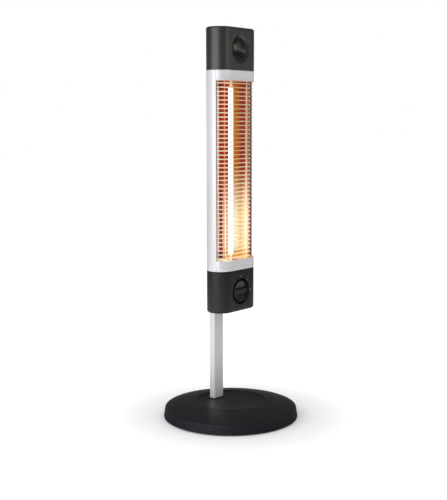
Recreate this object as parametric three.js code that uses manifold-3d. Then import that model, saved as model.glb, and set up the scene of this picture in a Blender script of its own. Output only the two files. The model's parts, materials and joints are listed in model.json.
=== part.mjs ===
// Infrared patio heater tower: a round weighted base, a flat pole and a slim
// upright head whose carbon lamp shines forwards through a chrome wire guard.
// Millimetres, +Z up. The front faces -Y, +X is to the right seen from the
// front, and the origin is on the floor under the middle of the base.

import * as THREE from 'three';
import { mergeVertices } from 'three/addons/utils/BufferGeometryUtils.js';
import Module from 'manifold-3d';

const wasm = await Module();
wasm.setup();

// ---------------------------------------------------------------------------
// Driving dimensions
// ---------------------------------------------------------------------------

// Clearances
const SEAT_GAP = 0.3; // between pieces that rest against each other
const RUNNING_GAP = 0.6; // around pieces that turn
const HOLE_PLAY = 0.4; // a screw hole's radius over its screw's
const OVERRUN = 1; // cuts and joined pieces run past a face by this
const WELD_DISTANCE = 1e-4; // mesh corners closer than this are one corner

// Base
const BASE_RADIUS = 170; // foot of the cover's rim
const FLOOR_REVEAL = 3; // shadow gap under the rim
const RIM_HEIGHT = 23;
const RIM_DRAFT = 3; // the rim leans in by this much
const RIM_FILLET = 3.5;
const CROWN_RISE = 16; // the top climbs from the rim to the recess
const RECESS_RADIUS = 87;
const RECESS_DEPTH = 2.5;
const RECESS_DRAFT = 1.2;
const COVER_WALL = 2.4;
const WEIGHT_THICKNESS = 10;
const WEIGHT_EDGE_GAP = 8; // weight to the inside of the rim
const PAD_HEIGHT = 6; // rubber feet under the weight
const PAD_RADIUS = 15;
const PAD_CHAMFER = 1.5;
const PAD_STUD_RADIUS = 4;
const PAD_STUD_TAPER = 1; // off the stud's radius at its tip
const PAD_STUD_STRAIGHT = 0.6; // straight part of the stud, as a share of the weight
const PAD_STUD_LENGTH = 0.75; // whole stud, as a share of the weight's thickness
const PAD_EDGE_DISTANCE = 26; // a pad's centre in from the weight's edge
const PAD_COUNT = 4;
const COVER_POST_RADIUS = 6;
const COVER_POST_COUNT = 3;
const COVER_POST_EDGE_DISTANCE = 38.6; // a post's centre in from the weight's edge
const COVER_SCREW = { radius: 2, head: 4.2, headHeight: 2.6, bite: 10, spare: 1 };

// Pole
const POLE_WIDTH = 37;
const POLE_DEPTH = 18.4;
const POLE_CORNER = 5;
const POLE_WALL = 1.6;
const POLE_TOP = 690; // above the floor, hidden behind the head
const POLE_STANDOFF = 4; // head to pole
const COLLAR_WIDTH = 1.4;
const COLLAR_HEIGHT = 2;
const FOOT_PLATE_WIDTH = 104;
const FOOT_PLATE_DEPTH = 60;
const FOOT_PLATE_THICKNESS = 6;
const FOOT_PLATE_CORNER = 8;
const FOOT_BOSS_CORNER = 5;
const FOOT_BOLT_SPACING = 76;
const FOOT_BOLT = { radius: 4, flats: 13, headHeight: 5 };
const INSERT_HEIGHT = 70; // how far the foot reaches up inside the pole
const BOSS_MARGIN = 5; // the foot's boss is wider than the insert by this
const PLUG_THICKNESS = 3;
const PLUG_DEPTH = 12;
const PLUG_WALL = 2;
const PLUG_FLOOR = 1; // solid part of the spigot under the plug's cap
const PLUG_BORE_CORNER = 1;
const POLE_BOLT = { radius: 3, head: 5.5, headHeight: 3 };
const POLE_BOLT_PITCH = 24;
const FIXING_INSET = 50; // the fixings' middles from the window's foot and the pole's top
const SPACER = { width: 30, height: 44 };
const NUT_PLATE = { width: 15, height: 40, thickness: 4 };

// Head
const HEAD_WIDTH = 146;
const HEAD_DEPTH = 67; // the plan is a slot shape with half-round ends
const HEAD_BOTTOM = 275.8; // above the floor
const BOTTOM_CAP_HEIGHT = 103.3;
const LOWER_BAND_HEIGHT = 26.5;
const WINDOW_HEIGHT = 435.3;
const UPPER_BAND_HEIGHT = 25.7;
const TOP_CAP_HEIGHT = 101.6;
const SEAM_ANGLE = THREE.MathUtils.degToRad(21.4); // in front of the widest line
const SEAM_GAP = 0.4; // joint between the housing and the bands
const HOUSING_WALL = 1.8;
const BAND_BEVEL = 1.3;
const BEVEL_SHARE = 0.8; // a bevel takes at most this share of a wall
const LIP_THICKNESS = 1.6;
const CAP_WALL = 2.6;
const CAP_FILLET = 4.5;
const CAP_JOINT_GAP = 0.6; // shadow line between the caps and the silver parts
const SKIRT_DEPTH = 8; // the caps' skirts reach this far into the housing
const SKIRT_WALL = 2;
const CHANNEL_RADIUS = 3.4; // screw channels inside the housing
const CHANNEL_ANGLE = THREE.MathUtils.degToRad(60); // behind the widest line
const CHANNEL_WELD = 0.8; // depth that the channels sink into the wall
const SHIELD_THICKNESS = 1.6;
const SHIELD_SCREW = { radius: 1.4, head: 2.1, headHeight: 1.6, length: 12 };
const CAP_SCREW = { radius: 1.5, head: 3, headHeight: 1.8, spacing: 62 };
const PAN_TOP = 0.8; // flat top of a pan head, as a share of its radius

// Guard
const GUARD_INSET = 5; // wire centres behind the head's outline
const WIRE_RADIUS = 1.5;
const WIRE_COUNT = 43;
const WIRE_REACH = THREE.MathUtils.degToRad(2.3); // wires end behind the seam
const FLANK_ANGLE = THREE.MathUtils.degToRad(1.4); // outer uprights, before the seam
const WIRE_MARGIN = 5.6; // first and last wire from the window's edges
const WIRE_WELD = 0.6; // depth that crossing wires sink into each other
const RIB_OFFSET = 30.3; // upright ribs on the flat front, from the middle
const RIB_TAIL = 9; // the uprights reach past the window's edges

// Reflector and lamp
const TROUGH_RADIUS = 40.5;
const TROUGH_OFFSET = 24; // each trough's centre line from the middle
const TROUGH_CENTRE_Y = -13;
const REFLECTOR_EDGE_Y = -6;
const REFLECTOR_FLANGE = 3.4;
const REFLECTOR_SHEET = 0.8;
const LAMP_RADIUS = 5.5;
const LAMP_GLASS = 1.1;
const LAMP_PINCH_RADIUS = 3.2;
const LAMP_TAPER = 10;
const LAMP_END_MARGIN = 15; // window's edges to the ends of the full tube
const LAMP_Y = -1;
const LAMP_TAIL = 8; // pinched neck beyond the window's edges
const ELEMENT_WIDTH = 5;
const ELEMENT_THICKNESS = 0.9;
const CERAMIC_RADIUS = 7;
const CERAMIC_LENGTH = 16;
const CERAMIC_CHAMFER = 2;
const CERAMIC_SOCKET = 3; // depth of the hole for the lamp's neck
const NECK_IN_SOCKET = 2; // how far the neck reaches into it
const CLIP_WALL = 1;
const CLIP_HEIGHT = 10;
const CLIP_OPENING = 1.2; // the clip's mouth over its inner radius

// Knob and its dish
const DISH_RADIUS = 33;
const DISH_DRAFT = 4.4; // the dish narrows by this much towards its floor
const DISH_DEPTH = 11;
const KNOB_HEIGHT_IN_CAP = 49.7; // knob's axis above the head's bottom
const KNOB_RADIUS = 27;
const KNOB_DRAFT = 0.7;
const KNOB_EDGE = 1.6;
const KNOB_EDGE_KNEE = 0.3; // where the edge's two facets meet, as a share of it
const KNOB_WALL = 3;
const KNOB_FLOOR_GAP = 0.8; // knob to the dish's floor
const GRIP_WIDTH = 13; // bar left between the two finger scoops
const SCOOP_DEPTH = 4.6;
const SCOOP_RIM = 2.2; // rim left outside the scoops
const KNOB_SKIN = 2;
const POINTER = { length: 7, width: 1.2, depth: 0.8, inset: 6.5 }; // engraved mark
const SHAFT_RADIUS = 3;
const SHAFT_FLAT = 0.8;
const SHAFT_END_GAP = 1;
const SHAFT_IN_SWITCH = 5;
const NECK_RADIUS = 4.8;
const SWITCH_WIDTH = 30;
const SWITCH_DEPTH = 19;
const SWITCH_CORNER = 3;
const SWITCH_BLADE = { width: 5, thickness: 0.9, length: 8, pitch: 9 };
const SWITCH_NUT_FLATS = 13;
const SWITCH_NUT_THICKNESS = 2;

// Receiver eye in the top cap
const EYE_DISH_RADIUS = 34.5;
const EYE_DISH_DRAFT = 8;
const EYE_DISH_DEPTH = 6.5;
const EYE_HEIGHT_IN_CAP = 51.4; // eye's axis above the top cap's foot
const EYE_RADIUS = 25;
const EYE_CROWN = 6;
const EYE_BRIM = 1; // upright edge under the crown
const EYE_SKIN = 1; // the lens over its hollow spigot
const EYE_WALL = 2;
const EYE_SPIGOT_RADIUS = 19;
const EYE_SPIGOT_DEPTH = 6;
const BOARD_WIDTH = 40;
const BOARD_HEIGHT = 32;
const BOARD_THICKNESS = 1.6;
const SENSOR = { width: 6, height: 7, depth: 4 };
const RELAY = { width: 12, height: 9, depth: 8, x: 8, y: -5 };

// Tilt switch
const TILT_X = -46;
const TILT_FRAME_WIDTH = 24;
const TILT_FRAME_DEPTH = 34;
const TILT_FRAME_HEIGHT = 46;
const TILT_WALL = 2;
const PENDULUM_LENGTH = 24;
const BOB_RADIUS = 7.5;
const BOB_THICKNESS = 12;
const PENDULUM_ARM = 3;
const PENDULUM_HUB_WALL = 1.8;
const TILT_PIVOT_DROP = 8; // the pin below the frame's top
const TILT_PIN_RADIUS = 1.5;
const TILT_PIN_PROUD = 1.2; // the pin's ends outside the frame
const TILT_PIN_HEAD = { rim: 1.2, thickness: 0.9 };

// Mains side
const TERMINAL_X = 46;
const TERMINAL_WIDTH = 22;
const TERMINAL_DEPTH = 34;
const TERMINAL_HEIGHT = 15;
const TERMINAL_WAYS = 3;
const TERMINAL_BORE = 2.2; // radius of the wires' holes
const TERMINAL_WELL = 2; // radius of the screws' wells
const GLAND_X = 18;
const GLAND_Y = 10;
const GLAND_RADIUS = 7;
const GLAND_BORE = 4;
const GLAND_COLLAR = 2;
const GLAND_COLLAR_HEIGHT = 3;
const CUTOUT_RADIUS = 8;
const CUTOUT_STEM_RADIUS = 6;
const CUTOUT_FLANGE = 4;
const CUTOUT_HEIGHT = 9;
const CUTOUT_BLADE = { width: 4, thickness: 0.9, length: 6, spacing: 7 };
const CUTOUT_PLACE = 0.75; // of the way from the middle to a round end's centre

// Mesh fineness
const BASE_STEPS = 36;
const DIAL_STEPS = 30;
const ROUND = 24;
const SMALL_ROUND = 12;
const CORNER_STEPS = 2;
const EDGE_STEPS = 3;
const EYE_STEPS = 4;
const LOBE_STEPS = 8; // faces round each half-round end of the head
const HEX_SIDES = 6;
const HOLE_SIDES = 8;
const SCREW_SIDES = 8;
const CHANNEL_SIDES = 10;
const WIRE_SIDES = 4;
const WIRE_STEPS = 3;
const TINY = 0.01;

// ---------------------------------------------------------------------------
// Places worked out from the dimensions
// ---------------------------------------------------------------------------

const rimTop = FLOOR_REVEAL + RIM_HEIGHT;
const crownTop = rimTop + CROWN_RISE;
const recessFloor = crownTop - RECESS_DEPTH;
const rimTopRadius = BASE_RADIUS - RIM_DRAFT;
const weightBottom = PAD_HEIGHT;
const weightTop = weightBottom + WEIGHT_THICKNESS;
const weightRadius = BASE_RADIUS - RIM_DRAFT - COVER_WALL - WEIGHT_EDGE_GAP;

const lobeRadius = HEAD_DEPTH / 2;
const lobeCentre = HEAD_WIDTH / 2 - lobeRadius;
const faceY = -lobeRadius;
const backY = lobeRadius;
const poleY = backY + POLE_STANDOFF + POLE_DEPTH / 2;
const poleBottom = recessFloor + SEAT_GAP;

// Levels inside the head, above the head's bottom
const housingFoot = BOTTOM_CAP_HEIGHT;
const windowFoot = housingFoot + LOWER_BAND_HEIGHT;
const windowTop = windowFoot + WINDOW_HEIGHT;
const housingTop = windowTop + UPPER_BAND_HEIGHT;
const lowerShieldTop = windowFoot - SEAT_GAP;
const lowerShieldBottom = lowerShieldTop - SHIELD_THICKNESS;
const upperShieldBottom = windowTop + SEAT_GAP;
const upperShieldTop = upperShieldBottom + SHIELD_THICKNESS;
const chamberBottom = lowerShieldTop + SEAT_GAP;
const chamberTop = upperShieldBottom - SEAT_GAP;
const shieldInset = HOUSING_WALL + SEAT_GAP;
const shellBevel = Math.min(BAND_BEVEL, HOUSING_WALL * BEVEL_SHARE);
const uprightInset = GUARD_INSET + 2 * WIRE_RADIUS - WIRE_WELD;
const lipInset = uprightInset - WIRE_RADIUS - RUNNING_GAP; // bands' lips end before the uprights
const capFloor = CAP_WALL + SEAT_GAP; // what stands in the bottom cap starts here
const floorBack = -DISH_DEPTH - CAP_WALL; // back of the knob's dish, behind the face

// ---------------------------------------------------------------------------
// Finishes
// ---------------------------------------------------------------------------

function finish(color, roughness, metalness) {
  return new THREE.MeshStandardMaterial({ color, roughness, metalness });
}

const satinSilver = finish(0xc6c8cb, 0.34, 0.9);
const satinBlack = finish(0x242326, 0.42, 0.1);
const charcoal = finish(0x39383b, 0.36, 0.15);
const glossBlack = finish(0x121114, 0.12, 0);
const chrome = finish(0xe6e6e8, 0.12, 1);
const polishedAluminium = finish(0xe2ddd6, 0.1, 1);
const castIron = finish(0x3b3a3a, 0.8, 0.4);
const zincSteel = finish(0xa7a8a8, 0.4, 0.9);
const rubber = finish(0x191919, 0.9, 0);
const quartz = finish(0xfff0dc, 0.08, 0);
const carbon = finish(0xff8a3c, 0.7, 0);
const ceramic = finish(0xe9e4da, 0.6, 0);
const blackPlastic = finish(0x1d1d1f, 0.6, 0);
const brass = finish(0xb99a55, 0.35, 0.9);
const boardGreen = finish(0x2f6a41, 0.6, 0);

// ---------------------------------------------------------------------------
// Closed meshes, cuts and joins
// ---------------------------------------------------------------------------

// Merges shared corners, drops faces without area and turns the faces out.
function weld(geometry) {
  const bare = new THREE.BufferGeometry();
  bare.setAttribute('position', geometry.getAttribute('position'));
  bare.setIndex(geometry.getIndex());
  const merged = mergeVertices(bare, WELD_DISTANCE);
  const corners = merged.getIndex().array;
  const kept = [];
  for (let i = 0; i < corners.length; i += 3) {
    const [a, b, c] = [corners[i], corners[i + 1], corners[i + 2]];
    if (a !== b && b !== c && c !== a) kept.push(a, b, c);
  }
  if (signedVolume(merged.getAttribute('position'), kept) < 0) kept.reverse();
  merged.setIndex(kept);
  return merged;
}

function signedVolume(position, corners) {
  const [a, b, c] = [new THREE.Vector3(), new THREE.Vector3(), new THREE.Vector3()];
  let volume = 0;
  for (let i = 0; i < corners.length; i += 3) {
    a.fromBufferAttribute(position, corners[i]);
    b.fromBufferAttribute(position, corners[i + 1]);
    c.fromBufferAttribute(position, corners[i + 2]);
    volume += a.dot(b.cross(c)) / 6;
  }
  return volume;
}

function toManifold(geometry) {
  const welded = weld(geometry);
  return new wasm.Manifold(new wasm.Mesh({
    numProp: 3,
    vertProperties: Float32Array.from(welded.getAttribute('position').array),
    triVerts: Uint32Array.from(welded.getIndex().array),
  }));
}

function toGeometry(manifold) {
  const mesh = manifold.getMesh();
  const geometry = new THREE.BufferGeometry();
  geometry.setAttribute('position', new THREE.BufferAttribute(Float32Array.from(mesh.vertProperties), 3));
  geometry.setIndex(Array.from(mesh.triVerts));
  return geometry;
}

function join(first, ...others) {
  return toGeometry(others.reduce((sum, other) => sum.add(toManifold(other)), toManifold(first)));
}

function cut(body, ...tools) {
  return toGeometry(tools.reduce((rest, tool) => rest.subtract(toManifold(tool)), toManifold(body)));
}

function common(first, second) {
  return toGeometry(toManifold(first).intersect(toManifold(second)));
}

// ---------------------------------------------------------------------------
// Basic forms
// ---------------------------------------------------------------------------

// A turned piece about the Z axis, from [radius, height] pairs.
function turned(pairs, steps = ROUND) {
  const points = pairs.map(([radius, height]) => new THREE.Vector2(Math.max(radius, 0), height));
  return new THREE.LatheGeometry(points, steps).rotateX(Math.PI / 2);
}

function disc(radius, bottom, top, steps = SMALL_ROUND) {
  return turned([[0, bottom], [radius, bottom], [radius, top], [0, top]], steps);
}

function box(width, depth, bottom, top) {
  return new THREE.BoxGeometry(width, depth, top - bottom).translate(0, 0, (top + bottom) / 2);
}

// Turns a piece made about Z so that its top looks out of the head's front.
function facingFront(geometry) {
  return geometry.rotateX(Math.PI / 2);
}

function prism(shape, bottom, top, curveSegments = SMALL_ROUND) {
  const options = { depth: top - bottom, bevelEnabled: false, curveSegments, steps: 1 };
  return new THREE.ExtrudeGeometry(shape, options).translate(0, 0, bottom);
}

function roundedRectangle(width, depth, corner) {
  const x = width / 2;
  const y = depth / 2;
  const r = Math.max(corner, TINY);
  const shape = new THREE.Shape();
  shape.moveTo(-x + r, -y);
  shape.absarc(x - r, -y + r, r, -Math.PI / 2, 0);
  shape.absarc(x - r, y - r, r, 0, Math.PI / 2);
  shape.absarc(-x + r, y - r, r, Math.PI / 2, Math.PI);
  shape.absarc(-x + r, -y + r, r, Math.PI, Math.PI * 1.5);
  return shape;
}

function roundedBar(width, depth, corner, bottom, top) {
  return prism(roundedRectangle(width, depth, corner), bottom, top, CORNER_STEPS);
}

// Closed skin over a row of rings with equal numbers of points.
function loft(rings, endFaces) {
  const count = rings[0].length;
  const positions = rings.flat().flatMap((p) => [p.x, p.y, p.z]);
  const faces = [];
  for (let ring = 0; ring + 1 < rings.length; ring += 1) {
    for (let i = 0; i < count; i += 1) {
      const next = (i + 1) % count;
      const [a, b] = [ring * count + i, ring * count + next];
      faces.push(a, b, b + count, a, b + count, a + count);
    }
  }
  const last = (rings.length - 1) * count;
  for (const [a, b, c] of endFaces) {
    faces.push(c, b, a, last + a, last + b, last + c);
  }
  const geometry = new THREE.BufferGeometry();
  geometry.setAttribute('position', new THREE.Float32BufferAttribute(positions, 3));
  geometry.setIndex(faces);
  return geometry;
}

// Faces that fill an outline, wound the same way round as the outline itself.
function polygonFaces(points) {
  const faces = THREE.ShapeUtils.triangulateShape(points, []);
  if (!THREE.ShapeUtils.isClockWise(points)) return faces;
  return faces.map(([a, b, c]) => [c, b, a]);
}

// ---------------------------------------------------------------------------
// The head's plan: a slot shape, and what follows its outline
// ---------------------------------------------------------------------------

// Places along the outline: the centre of the round end and the direction out.
function stations(from, to, steps, centre) {
  return Array.from({ length: steps + 1 }, (_, i) => ({
    centre,
    angle: from + ((to - from) * i) / steps,
  }));
}

function frontStations(seam, steps) {
  return [
    ...stations(Math.PI + seam, Math.PI * 1.5, steps, -lobeCentre),
    ...stations(-Math.PI / 2, -seam, steps, lobeCentre),
  ];
}

function backStations(seam, steps) {
  return [
    ...stations(-seam, Math.PI / 2, steps, lobeCentre),
    ...stations(Math.PI / 2, Math.PI + seam, steps, -lobeCentre),
  ];
}

function ringStations(steps) {
  return [
    ...stations(-Math.PI / 2, Math.PI / 2, steps, lobeCentre),
    ...stations(Math.PI / 2, Math.PI * 1.5, steps, -lobeCentre),
  ];
}

function onOutline({ centre, angle }, inset, z) {
  const radius = lobeRadius - inset;
  return new THREE.Vector3(centre + radius * Math.cos(angle), radius * Math.sin(angle), z);
}

// Sweeps a closed [inset, z] profile along an open stretch of the outline.
function wrapped(profile, places) {
  const rings = places.map((place) => profile.map(([inset, z]) => onOutline(place, inset, z)));
  return loft(rings, polygonFaces(profile.map(([inset, z]) => new THREE.Vector2(inset, z))));
}

// A solid slot shape through [inset, z] levels from bottom to top.
function slotSolid(levels, steps = LOBE_STEPS) {
  const places = ringStations(steps);
  const rings = levels.map(([inset, z]) => places.map((place) => onOutline(place, inset, z)));
  return loft(rings, polygonFaces(rings[0].map((p) => new THREE.Vector2(p.x, p.y))));
}

// Levels of a rounded upper edge, from the flat end down to the upright wall.
function roundedEdge(inset, endZ, radius, steps = EDGE_STEPS) {
  return Array.from({ length: steps + 1 }, (_, i) => {
    const angle = ((Math.PI / 2) * i) / steps;
    return [inset + radius * (1 - Math.sin(angle)), endZ - radius * (1 - Math.cos(angle))];
  });
}

// ---------------------------------------------------------------------------
// Fasteners
// ---------------------------------------------------------------------------

// Pan-head screw about Z, with its head's underside at zero and its tip below.
function panScrew(shankRadius, length, headRadius, headHeight) {
  return turned([
    [0, -length],
    [shankRadius, -length],
    [shankRadius, 0],
    [headRadius, 0],
    [headRadius * PAN_TOP, headHeight],
    [0, headHeight],
  ], SCREW_SIDES);
}

// Six-sided prism about Z that stands on the given level.
function hexagon(flats, thickness, bottom) {
  const radius = flats / Math.sqrt(3);
  return new THREE.CylinderGeometry(radius, radius, thickness, HEX_SIDES)
    .rotateX(Math.PI / 2)
    .translate(0, 0, bottom + thickness / 2);
}

function hexScrew(shankRadius, length, flats, headHeight) {
  return join(hexagon(flats, headHeight, 0), disc(shankRadius, -length, TINY));
}

// ---------------------------------------------------------------------------
// Assembly tree
// ---------------------------------------------------------------------------

const heater = new THREE.Group();
const head = new THREE.Group();
head.position.z = HEAD_BOTTOM;
heater.add(head);

function add(parent, name, geometry, material, x = 0, y = 0, z = 0) {
  const skin = weld(geometry).toNonIndexed();
  skin.computeVertexNormals();
  const mesh = new THREE.Mesh(skin, material);
  mesh.name = name;
  mesh.position.set(x, y, z);
  parent.add(mesh);
  return mesh;
}

// Points evenly round a circle, the first of them at the given angle.
function aroundCircle(count, radius, firstAngle) {
  return Array.from({ length: count }, (_, i) => {
    const angle = firstAngle + (2 * Math.PI * i) / count;
    return [radius * Math.cos(angle), radius * Math.sin(angle)];
  });
}

// ---------------------------------------------------------------------------
// Base: pads, weight, cover and the foot that holds the pole
// ---------------------------------------------------------------------------

const padPlaces = aroundCircle(PAD_COUNT, weightRadius - PAD_EDGE_DISTANCE, Math.PI / 2);
const postPlaces = aroundCircle(COVER_POST_COUNT, weightRadius - COVER_POST_EDGE_DISTANCE, -Math.PI / 4);
const footBoltPlaces = [-1, 1].map((side) => [(side * FOOT_BOLT_SPACING) / 2, poleY]);
const plateTop = weightTop + SEAT_GAP + FOOT_PLATE_THICKNESS;
const insertWidth = POLE_WIDTH - 2 * POLE_WALL - 2 * SEAT_GAP;
const insertDepth = POLE_DEPTH - 2 * POLE_WALL - 2 * SEAT_GAP;

function coverProfile(wall) {
  const slope = CROWN_RISE / (rimTopRadius - RECESS_RADIUS);
  const top = new THREE.Path();
  top.moveTo(0, recessFloor - wall);
  top.lineTo(RECESS_RADIUS - RECESS_DRAFT + wall, recessFloor - wall);
  top.lineTo(RECESS_RADIUS + wall, crownTop - wall);
  const shoulder = rimTopRadius - wall - RIM_FILLET;
  top.lineTo(shoulder, rimTop - wall + slope * RIM_FILLET);
  top.quadraticCurveTo(rimTopRadius - wall, rimTop - wall, rimTopRadius - wall, rimTop - wall - RIM_FILLET);
  top.lineTo(BASE_RADIUS - wall, FLOOR_REVEAL);
  return top.getPoints(CORNER_STEPS).map((p) => [p.x, p.y]);
}

function makeCover() {
  const outside = coverProfile(0);
  const inside = coverProfile(COVER_WALL).reverse();
  const shell = turned([...outside, ...inside], BASE_STEPS);
  const whole = turned([...outside, [0, FLOOR_REVEAL]], BASE_STEPS);
  const posts = postPlaces.map(([x, y]) => {
    const post = disc(COVER_POST_RADIUS, weightTop + SEAT_GAP, crownTop).translate(x, y, 0);
    return common(post, whole);
  });
  const pilots = postPlaces.map(([x, y]) => {
    const end = weightTop + COVER_SCREW.bite;
    return disc(COVER_SCREW.radius + HOLE_PLAY, weightTop - OVERRUN, end).translate(x, y, 0);
  });
  const opening = roundedBar(
    insertWidth + 2 * SEAT_GAP,
    insertDepth + 2 * SEAT_GAP,
    POLE_CORNER - POLE_WALL,
    recessFloor - COVER_WALL - OVERRUN,
    recessFloor + OVERRUN,
  ).translate(0, poleY, 0);
  return cut(join(shell, ...posts), ...pilots, opening);
}

function makeWeight() {
  const plate = disc(weightRadius, weightBottom, weightTop, BASE_STEPS);
  const through = (radius, [x, y]) => (
    disc(radius, weightBottom - OVERRUN, weightTop + OVERRUN, HOLE_SIDES).translate(x, y, 0)
  );
  const recess = (radius, depth, [x, y]) => (
    disc(radius + HOLE_PLAY, weightBottom - OVERRUN, weightBottom + depth + SEAT_GAP).translate(x, y, 0)
  );
  const boltCorner = FOOT_BOLT.flats / Math.sqrt(3);
  const tools = [
    ...padPlaces.map((place) => through(PAD_STUD_RADIUS + SEAT_GAP, place)),
    ...postPlaces.map((place) => through(COVER_SCREW.radius + HOLE_PLAY, place)),
    ...footBoltPlaces.map((place) => through(FOOT_BOLT.radius + HOLE_PLAY, place)),
    ...postPlaces.map((place) => recess(COVER_SCREW.head, COVER_SCREW.headHeight, place)),
    ...footBoltPlaces.map((place) => recess(boltCorner, FOOT_BOLT.headHeight, place)),
  ];
  return cut(plate, ...tools);
}

function makePad() {
  const top = PAD_HEIGHT - SEAT_GAP;
  const tip = top + WEIGHT_THICKNESS * PAD_STUD_LENGTH;
  return turned([
    [0, 0],
    [PAD_RADIUS - PAD_CHAMFER, 0],
    [PAD_RADIUS, PAD_CHAMFER],
    [PAD_RADIUS, top],
    [PAD_STUD_RADIUS, top],
    [PAD_STUD_RADIUS, top + WEIGHT_THICKNESS * PAD_STUD_STRAIGHT],
    [PAD_STUD_RADIUS - PAD_STUD_TAPER, tip],
    [0, tip],
  ], SMALL_ROUND);
}

function makePoleFoot() {
  const plateBottom = weightTop + SEAT_GAP;
  const bossTop = recessFloor - COVER_WALL - SEAT_GAP;
  const plate = roundedBar(
    FOOT_PLATE_WIDTH, FOOT_PLATE_DEPTH, FOOT_PLATE_CORNER, plateBottom, plateTop);
  const boss = roundedBar(
    insertWidth + 2 * BOSS_MARGIN,
    insertDepth + 2 * BOSS_MARGIN,
    FOOT_BOSS_CORNER,
    plateTop - OVERRUN,
    bossTop,
  );
  const insert = roundedBar(
    insertWidth,
    insertDepth,
    POLE_CORNER - POLE_WALL,
    bossTop - OVERRUN,
    poleBottom + INSERT_HEIGHT,
  );
  const holes = footBoltPlaces.map(([x]) => (
    disc(FOOT_BOLT.radius + HOLE_PLAY, plateBottom - OVERRUN, plateTop + OVERRUN).translate(x, 0, 0)
  ));
  return cut(join(plate, boss, insert), ...holes);
}

add(heater, 'base_cover', makeCover(), satinBlack);
add(heater, 'base_weight', makeWeight(), castIron);
padPlaces.forEach(([x, y], i) => {
  add(heater, `foot_pad_${i + 1}`, makePad(), rubber, x, y);
});
postPlaces.forEach(([x, y], i) => {
  const seat = weightBottom + COVER_SCREW.headHeight;
  const reach = weightTop + COVER_SCREW.bite - COVER_SCREW.spare - seat;
  const screw = panScrew(COVER_SCREW.radius, reach, COVER_SCREW.head, COVER_SCREW.headHeight)
    .rotateX(Math.PI);
  add(heater, `cover_screw_${i + 1}`, screw, zincSteel, x, y, seat);
});
add(heater, 'pole_foot', makePoleFoot(), zincSteel, 0, poleY);
footBoltPlaces.forEach(([x, y], i) => {
  const seat = weightBottom + FOOT_BOLT.headHeight;
  const bolt = hexScrew(FOOT_BOLT.radius, plateTop - seat, FOOT_BOLT.flats, FOOT_BOLT.headHeight)
    .rotateX(Math.PI);
  add(heater, `foot_bolt_${i + 1}`, bolt, zincSteel, x, y, seat);
});

// ---------------------------------------------------------------------------
// Pole: a flat tube behind the head, with its collar, plug and head fixings
// ---------------------------------------------------------------------------

const fixingLevels = [HEAD_BOTTOM + windowFoot + FIXING_INSET, POLE_TOP - FIXING_INSET];
const boltLevels = fixingLevels.flatMap((z) => [z - POLE_BOLT_PITCH / 2, z + POLE_BOLT_PITCH / 2]);
const poleBackY = poleY + POLE_DEPTH / 2;
const nutPlateBackY = backY - HOUSING_WALL - SEAT_GAP;
const nutPlateFrontY = nutPlateBackY - NUT_PLATE.thickness;

// A hole along Y between two depths at one level of the pole or the head.
function crossHole(radius, fromY, toY, z) {
  return disc(radius, -toY, -fromY, HOLE_SIDES).rotateX(Math.PI / 2).translate(0, 0, z);
}

function makePole() {
  const outline = roundedRectangle(POLE_WIDTH, POLE_DEPTH, POLE_CORNER);
  const bore = roundedRectangle(
    POLE_WIDTH - 2 * POLE_WALL, POLE_DEPTH - 2 * POLE_WALL, POLE_CORNER - POLE_WALL);
  outline.holes.push(bore);
  const tube = prism(outline, poleBottom, POLE_TOP, CORNER_STEPS + 1).translate(0, poleY, 0);
  const radius = POLE_BOLT.radius + HOLE_PLAY;
  const holes = boltLevels.map((z) => crossHole(radius, backY, poleBackY + OVERRUN, z));
  return cut(tube, ...holes);
}

function makePlug() {
  const cap = roundedBar(POLE_WIDTH, POLE_DEPTH, POLE_CORNER, SEAT_GAP, PLUG_THICKNESS);
  const spigot = roundedBar(
    insertWidth, insertDepth, POLE_CORNER - POLE_WALL, -PLUG_DEPTH, SEAT_GAP + OVERRUN);
  const hollow = roundedBar(
    insertWidth - 2 * PLUG_WALL,
    insertDepth - 2 * PLUG_WALL,
    PLUG_BORE_CORNER,
    -PLUG_DEPTH - OVERRUN,
    -PLUG_FLOOR,
  );
  return cut(join(cap, spigot), hollow);
}

function makeCollar() {
  const inner = roundedRectangle(
    POLE_WIDTH + 2 * SEAT_GAP, POLE_DEPTH + 2 * SEAT_GAP, POLE_CORNER + SEAT_GAP);
  const reach = 2 * (SEAT_GAP + COLLAR_WIDTH);
  const outline = roundedRectangle(
    POLE_WIDTH + reach, POLE_DEPTH + reach, POLE_CORNER + SEAT_GAP + COLLAR_WIDTH);
  outline.holes.push(inner);
  return prism(outline, 0, COLLAR_HEIGHT, CORNER_STEPS);
}

// A flat block upright against the head's back, with its two bolt holes.
function fixingBlock(width, height, frontY, rearY, level) {
  const slab = new THREE.BoxGeometry(width, rearY - frontY, height)
    .translate(0, (rearY + frontY) / 2, level);
  const radius = POLE_BOLT.radius + HOLE_PLAY;
  const holes = [-1, 1].map((side) => (
    crossHole(radius, frontY - OVERRUN, rearY + OVERRUN, level + (side * POLE_BOLT_PITCH) / 2)
  ));
  return cut(slab, ...holes);
}

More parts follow.
